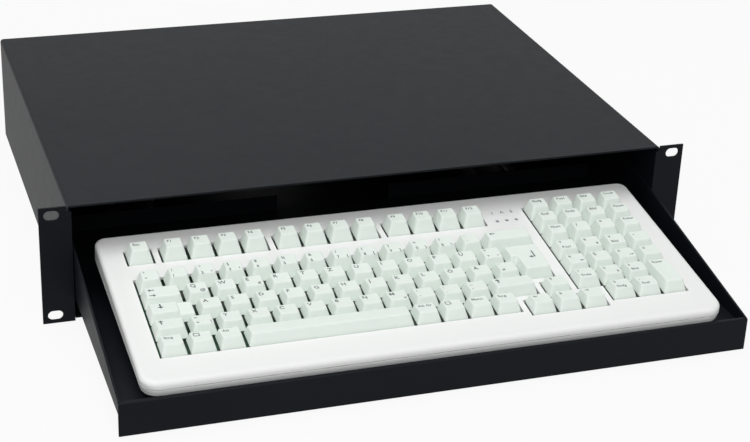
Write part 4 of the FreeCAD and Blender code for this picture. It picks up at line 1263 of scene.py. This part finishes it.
@dataclass
class Keyboard:
    """The keyboard that lies in the tray, with its case, lights, feet and caps."""

    kit: Kit
    origin: Point = (0.0, -127.2091, -7.5167)
    slope: float = 7.4
    pitch: float = 19.05
    row_pitch: float = 17.46
    left: float = -185.7375
    cap_gap: float = 0.95
    side_gap: float = 2.2
    seam_place: Point = (0.0, -151.4431, -15.807)
    seam_slope: float = 4.9
    seam_gap: float = 0.85
    rim_reach: float = 0.48
    case_half: float = 202.4875
    case_depth: float = 169.11
    front_corner: float = 12.0
    rear_corner: float = 8.0
    tuck_slope: float = math.tan(math.radians(13.0))
    tuck_reach: float = 9.0
    tuck_fade: float = 6.0
    skin: float = 1.0
    floor_depth: float = 5.6
    letter_height: float = 3.5
    pair_height: float = 2.7
    word_height: float = 2.6
    back_margin: float = 1.9
    mark_pitch: float = 6.4
    ink_rise: float = 0.05
    return_step: float = 0.25
    step_height: float = 4.2
    step_overlap: float = 3.3
    stepped_wide: float = 1.75
    light_places: tuple[float, ...] = (14.24, 14.63, 15.02)
    light_row: float = 6.24
    light_marks: tuple[str, ...] = ("1", "A", "to_front")
    light_mark_height: float = 3.3
    light_mark_rise: float = 12.7
    lettering: Lettering = field(default_factory=Lettering)

    def build(self) -> None:
        """Makes every piece of the keyboard."""
        self.case()
        self.lights()
        for run in KEY_RUNS:
            self.key_run(run, self.plain_cap(run))
        self.key_run(RETURN_KEY, self.return_cap())
        self.key_run(CAPS_LOCK_KEY, *self.stepped_cap())

    def placed(self, mesh: Mesh) -> Mesh:
        """Turns and moves a mesh to the keyboard's place in the tray.

        Args:
            mesh: the mesh, with the keyboard's own origin and axes.

        Returns:
            The same mesh.
        """
        turn = Matrix.Rotation(math.radians(self.slope), 4, "X")
        mesh.transform(Matrix.Translation(Vector(self.origin) * MM) @ turn)
        return mesh

    def case(self) -> None:
        """Makes the case and its feet, and dresses the nodes inside."""
        self.kit.dress("keyboard_cover", "tray", MOULDING)
        self.kit.dress("keyboard_base", "tray", MOULDING, self.shape_base)
        for side in ("left", "right"):
            self.kit.dress(side + "_tilt_foot", side + "_foot", TILT_FOOT)
        self.kit.dress("keyboard_feet", "tray", PADS)
        for node, look in (("circuit_board", Look.BOARD), ("key_switches", Look.SWITCHES)):
            for slot in self.kit.frame["nodes"][node].material_slots:
                slot.material = self.kit.materials[look]
            LOG.info("node %s dressed", node)

    def shape_base(self, base: Mesh) -> None:
        """Slopes the base's outer wall inwards below the seam, and lowers its rim to part the seam.

        Args:
            base: the base's mesh.
        """
        turn = math.radians(self.seam_slope)
        upward = Vector((0.0, -math.sin(turn), math.cos(turn)))
        backward = Vector((0.0, math.cos(turn), math.sin(turn)))
        for vert in base.vertices:
            place = vert.co / MM - Vector(self.seam_place)
            height = place.dot(upward)
            away = place.dot(backward) - self.case_depth / 2.0
            tuck = self.tuck(place.x, away, -height - self.seam_gap)
            move = Vector((tuck.x, 0.0, 0.0)) + backward * tuck.y
            if abs(height) < self.rim_reach:
                move -= upward * self.seam_gap
            vert.co += move * MM

    def tuck(self, across: float, away: float, depth: float) -> Vector:
        """Gives how far a point of the base's outer wall moves inwards.

        Args:
            across: its place from the case's middle, to the right.
            away: its place from the case's middle, to the back.
            depth: how far it lies below the seam.

        Returns:
            The move, to the right and to the back.
        """
        radius = self.front_corner if away < 0 else self.rear_corner
        past = Vector((abs(across) - self.case_half + radius, abs(away) - self.case_depth / 2.0 + radius))
        if min(past) <= 0.0:
            past = Vector((past.x, 0.0)) if past.x > past.y else Vector((0.0, past.y))
        inside = radius - past.length
        near = min(1.0, max(0.0, (self.tuck_reach - inside) / self.tuck_fade))
        if depth <= 0.0 or (inside >= self.skin and depth <= self.floor_depth):
            return Vector((0.0, 0.0))
        way = past.normalized() * self.tuck_slope * depth * near
        return Vector((-math.copysign(way.x, across), -math.copysign(way.y, away)))

    def lights(self) -> None:
        """Makes the status lights and the marks behind them."""
        materials, line = self.kit.materials, self.kit.layouts[Pattern.LINE]
        first, second = self.light_places[:2]
        start = (self.left + first * self.pitch, self.light_row * self.row_pitch, 0.0)
        step = ((second - first) * self.pitch, 0.0, 0.0)
        mesh = line.lay(LENS.build(), materials[Look.LENS], len(self.light_places), start, step)
        finish_piece("status_light_lenses", self.placed(mesh), "tray", "light_lens", "status_lights")
        marks = []
        for place, mark in zip(self.light_places, self.light_marks):
            half = self.lettering.width(mark) * self.light_mark_height / 2.0
            corner = (self.left + place * self.pitch - half, start[1] + self.light_mark_rise)
            marks.append(self.lettering.put(mark, self.light_mark_height, corner, lambda x, y: self.ink_rise))
        mesh = clad(joined("light_marks", marks, [0] * len(marks)), materials[Look.PALE_INK])
        finish_piece("light_marks", self.placed(mesh), "tray", "case_plastic")

    def rectangle(self, wide: float, deep: float) -> list[Place]:
        """Gives a cap's plan at the skirt, from the front left corner of its field.

        Args:
            wide: the field's width in key pitches.
            deep: its depth in rows.

        Returns:
            The four corners.
        """
        left, front = self.side_gap / 2.0, self.cap_gap / 2.0
        right, back = wide * self.pitch - left, deep * self.row_pitch - front
        return [(left, front), (right, front), (right, back), (left, back)]

    def plain_cap(self, run: KeyRun) -> Cap:
        """Gives the outside of a plain cap."""
        corners, middle = self.rectangle(run.wide, run.deep), run.deep * self.row_pitch / 2.0
        return Cap(corners, middle, run.row.value, run.crown, deep=run.deep)

    def return_cap(self) -> Cap:
        """Gives the outside of the return key, whose upper part is wider.

        Returns:
            The cap with its six corners.
        """
        left, front, deep = self.side_gap / 2.0, self.cap_gap / 2.0, self.row_pitch
        inner, outer = self.return_step * self.pitch + left, RETURN_KEY.wide * self.pitch - left
        step, back = deep + front, RETURN_KEY.deep * deep - front
        corners = [(inner, front), (outer, front), (outer, back), (left, back), (left, step), (inner, step)]
        return Cap(corners, deep, RETURN_KEY.row.value, deep=RETURN_KEY.deep)

    def stepped_cap(self) -> tuple[Cap, Cap]:
        """Gives the outsides of the key whose right part is lower.

        Returns:
            The raised cap and the low part beside it.
        """
        middle, raised = self.row_pitch / 2.0, self.rectangle(CAPS_LOCK_KEY.wide, 1.0)
        inner = max(x for x, _ in raised) - self.step_overlap
        step = [(max(x, inner), y) for x, y in self.rectangle(self.stepped_wide, 1.0)]
        low = RowShape(self.step_height, 0.0)
        return Cap(raised, middle, CAPS_LOCK_KEY.row.value), Cap(step, middle, low, Crown.FLAT)

    def key_run(self, run: KeyRun, *caps: Cap) -> None:
        """Makes a run of caps with their marks as one piece.

        Args:
            run: the run's place and marks.
            caps: the outsides that make one cap, the printed one first.
        """
        plastic, ink = self.kit.materials[Look.CAPS], self.kit.materials[Look.INK]
        start = (self.left + run.across * self.pitch, run.away * self.row_pitch, 0.0)
        step = (self.pitch, 0.0, 0.0)
        line = self.kit.layouts[Pattern.LINE]
        laid = [line.lay(cap.build(), plastic, len(run.marks), start, step) for cap in caps]
        prints = []
        for index, marks in enumerate(run.marks):
            corner = Vector((start[0] + index * self.pitch, start[1]))
            prints += self.printed(run, caps[0], marks, corner)
        slots = [0] * len(laid) + [1] * len(prints)
        mesh = clad(joined(run.node, laid + prints, slots), plastic, ink)
        finish_piece(run.node + "_caps", self.placed(mesh), "pressed_" + run.node, "keycap_plastic", run.node)

    def printed(self, run: KeyRun, cap: Cap, marks: tuple[str, ...], corner: Vector) -> list[Mesh]:
        """Prints a cap's marks on its top.

        Args:
            run: the run that the cap belongs to.
            cap: the cap's outside.
            marks: the marks at the back left, the front left and the front right, as many as there are.
            corner: the cap's front left corner.

        Returns:
            A mesh for each mark.
        """
        (right, _), (left, back) = (cap.corner(index, 1.0, run.mark_inset) for index in (2, 3))
        back += run.mark_inset - self.back_margin
        meshes = []
        for index, mark in enumerate(marks):
            if not mark:
                continue
            width = self.lettering.width(mark)
            height = run.mark_height or self.height_of(mark, len(marks))
            height = min(height, (right - left) / width)
            x = right - width * height if index == 2 else left
            place = (corner.x + x, corner.y + back - (self.mark_pitch if index else 0.0))
            meshes.append(self.lettering.put(
                mark, height, place, lambda u, v: cap.top(u - corner.x, v - corner.y) + self.ink_rise))
        return meshes

    def height_of(self, mark: str, count: int) -> float:
        """Gives a mark's height.

        Args:
            mark: the mark.
            count: how many places its cap prints.

        Returns:
            The capital height in millimetres.
        """
        if len(mark) > 1:
            return self.word_height
        return self.letter_height if count == 1 or mark.isupper() else self.pair_height


# Studio

@dataclass(frozen=True)
class Softbox:
    """One large soft lamp."""

    name: str
    place: Point
    size: float
    power: float

    def hang(self) -> None:
        """Puts the lamp in its place, facing the tray."""
        data = bpy.data.lights.new(self.name, "AREA")
        data.shape = "SQUARE"
        data.size = self.size
        data.energy = self.power
        place = Vector(self.place) * MM
        turn = (-place).to_track_quat("-Z", "Y").to_matrix().to_4x4()
        loose(self.name, data).matrix_world = Matrix.Translation(place) @ turn


@dataclass
class Studio:
    """A pale floor, soft light from above and from the front, and the camera."""

    floor_z: float = -44.06
    floor_half: float = 9000.0
    floor_grey: float = 0.62
    floor_white: float = 0.91
    eye: Point = (-378.84, -1074.34, 553.50)
    heading: float = 19.3417
    downward: float = 25.6051
    roll: float = 2.3944
    lens: float = 84.2445
    sensor: float = 36.0
    clip: Place = (0.05, 50.0)
    fill: float = 0.32
    key: Softbox = Softbox("key_softbox", (-700.0, 250.0, 2850.0), 1.9, 40.0)
    front: Softbox = Softbox("front_softbox", (-600.0, -2100.0, 1750.0), 1.9, 34.0)

    def build(self) -> None:
        """Makes the floor, the world, the lamps and the camera."""
        self.floor()
        self.world()
        self.key.hang()
        self.front.hang()
        self.camera()

    def seen(self, bench: Bench) -> Wire:
        """Tells what the eye, a reflection or a clear part sees from light on the object.

        Args:
            bench: the tree to fill.

        Returns:
            The value, 1 for what is seen and 0 for light.
        """
        kinds = ("Camera", "Glossy", "Transmission")
        eye, shine, clear = (bench.node("ShaderNodeLightPath", output=f"Is {kind} Ray") for kind in kinds)
        return (eye + shine + clear).at_most(1.0)

    def floor(self) -> None:
        """Makes the floor, which keeps the object's shadow."""
        half, level = self.floor_half * MM, self.floor_z * MM
        corners = [(x * half, y * half, level) for x, y in ((-1, -1), (1, -1), (1, 1), (-1, 1))]
        mesh = bpy.data.meshes.new("floor")
        mesh.from_pydata(corners, [], [(0, 1, 2, 3)])
        material = bpy.data.materials.new("studio_floor")
        material.use_nodes = True
        bench = Bench(material.node_tree)
        grey = (*[self.floor_grey] * 3, 1.0)
        matt = bench.node("ShaderNodeBsdfDiffuse", None, {"Color": grey})
        white = bench.node("ShaderNodeEmission", None, {"Color": WHITE, "Strength": 1.0})
        share = self.seen(bench) * self.floor_white
        shader = bench.node("ShaderNodeMixShader", None, {0: share, 1: matt, 2: white})
        bench.node("ShaderNodeOutputMaterial", None, {"Surface": shader})
        loose("floor", clad(mesh, material))

    def world(self) -> None:
        """Makes the white surroundings."""
        world = bpy.data.worlds.new("studio")
        world.use_nodes = True
        bench = Bench(world.node_tree)
        strength = self.fill + (1.0 - self.fill) * self.seen(bench)
        shader = bench.node("ShaderNodeBackground", None, {"Color": WHITE, "Strength": strength})
        bench.node("ShaderNodeOutputWorld", None, {"Surface": shader})
        bpy.context.scene.world = world

    def camera(self) -> None:
        """Sets the camera at the photograph's viewing angle."""
        data = bpy.data.cameras.new("camera")
        data.lens = self.lens
        data.sensor_width = self.sensor
        data.sensor_fit = "HORIZONTAL"
        data.clip_start, data.clip_end = self.clip
        turn, tip = math.radians(self.heading), math.radians(self.downward)
        ahead = Vector((math.sin(turn) * math.cos(tip), math.cos(turn) * math.cos(tip), -math.sin(tip)))
        level = Vector((math.cos(turn), -math.sin(turn), 0.0))
        right = Matrix.Rotation(-math.radians(self.roll), 3, ahead) @ level
        axes = Matrix((right, right.cross(ahead), -ahead)).transposed().to_4x4()
        camera = loose("camera", data)
        camera.matrix_world = Matrix.Translation(Vector(self.eye) * MM) @ axes
        bpy.context.scene.camera = camera


def main() -> None:
    """Builds the dressed tray and the studio."""
    logging.basicConfig(level=logging.INFO, format="%(name)s: %(message)s")
    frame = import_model()
    kit = Kit(frame)
    for assembly in (Housing(kit), Slides(kit), Tray(kit), Keyboard(kit), Studio()):
        assembly.build()
    bpy.context.scene.view_settings.view_transform = "Standard"


if __name__ == "__main__":
    main()
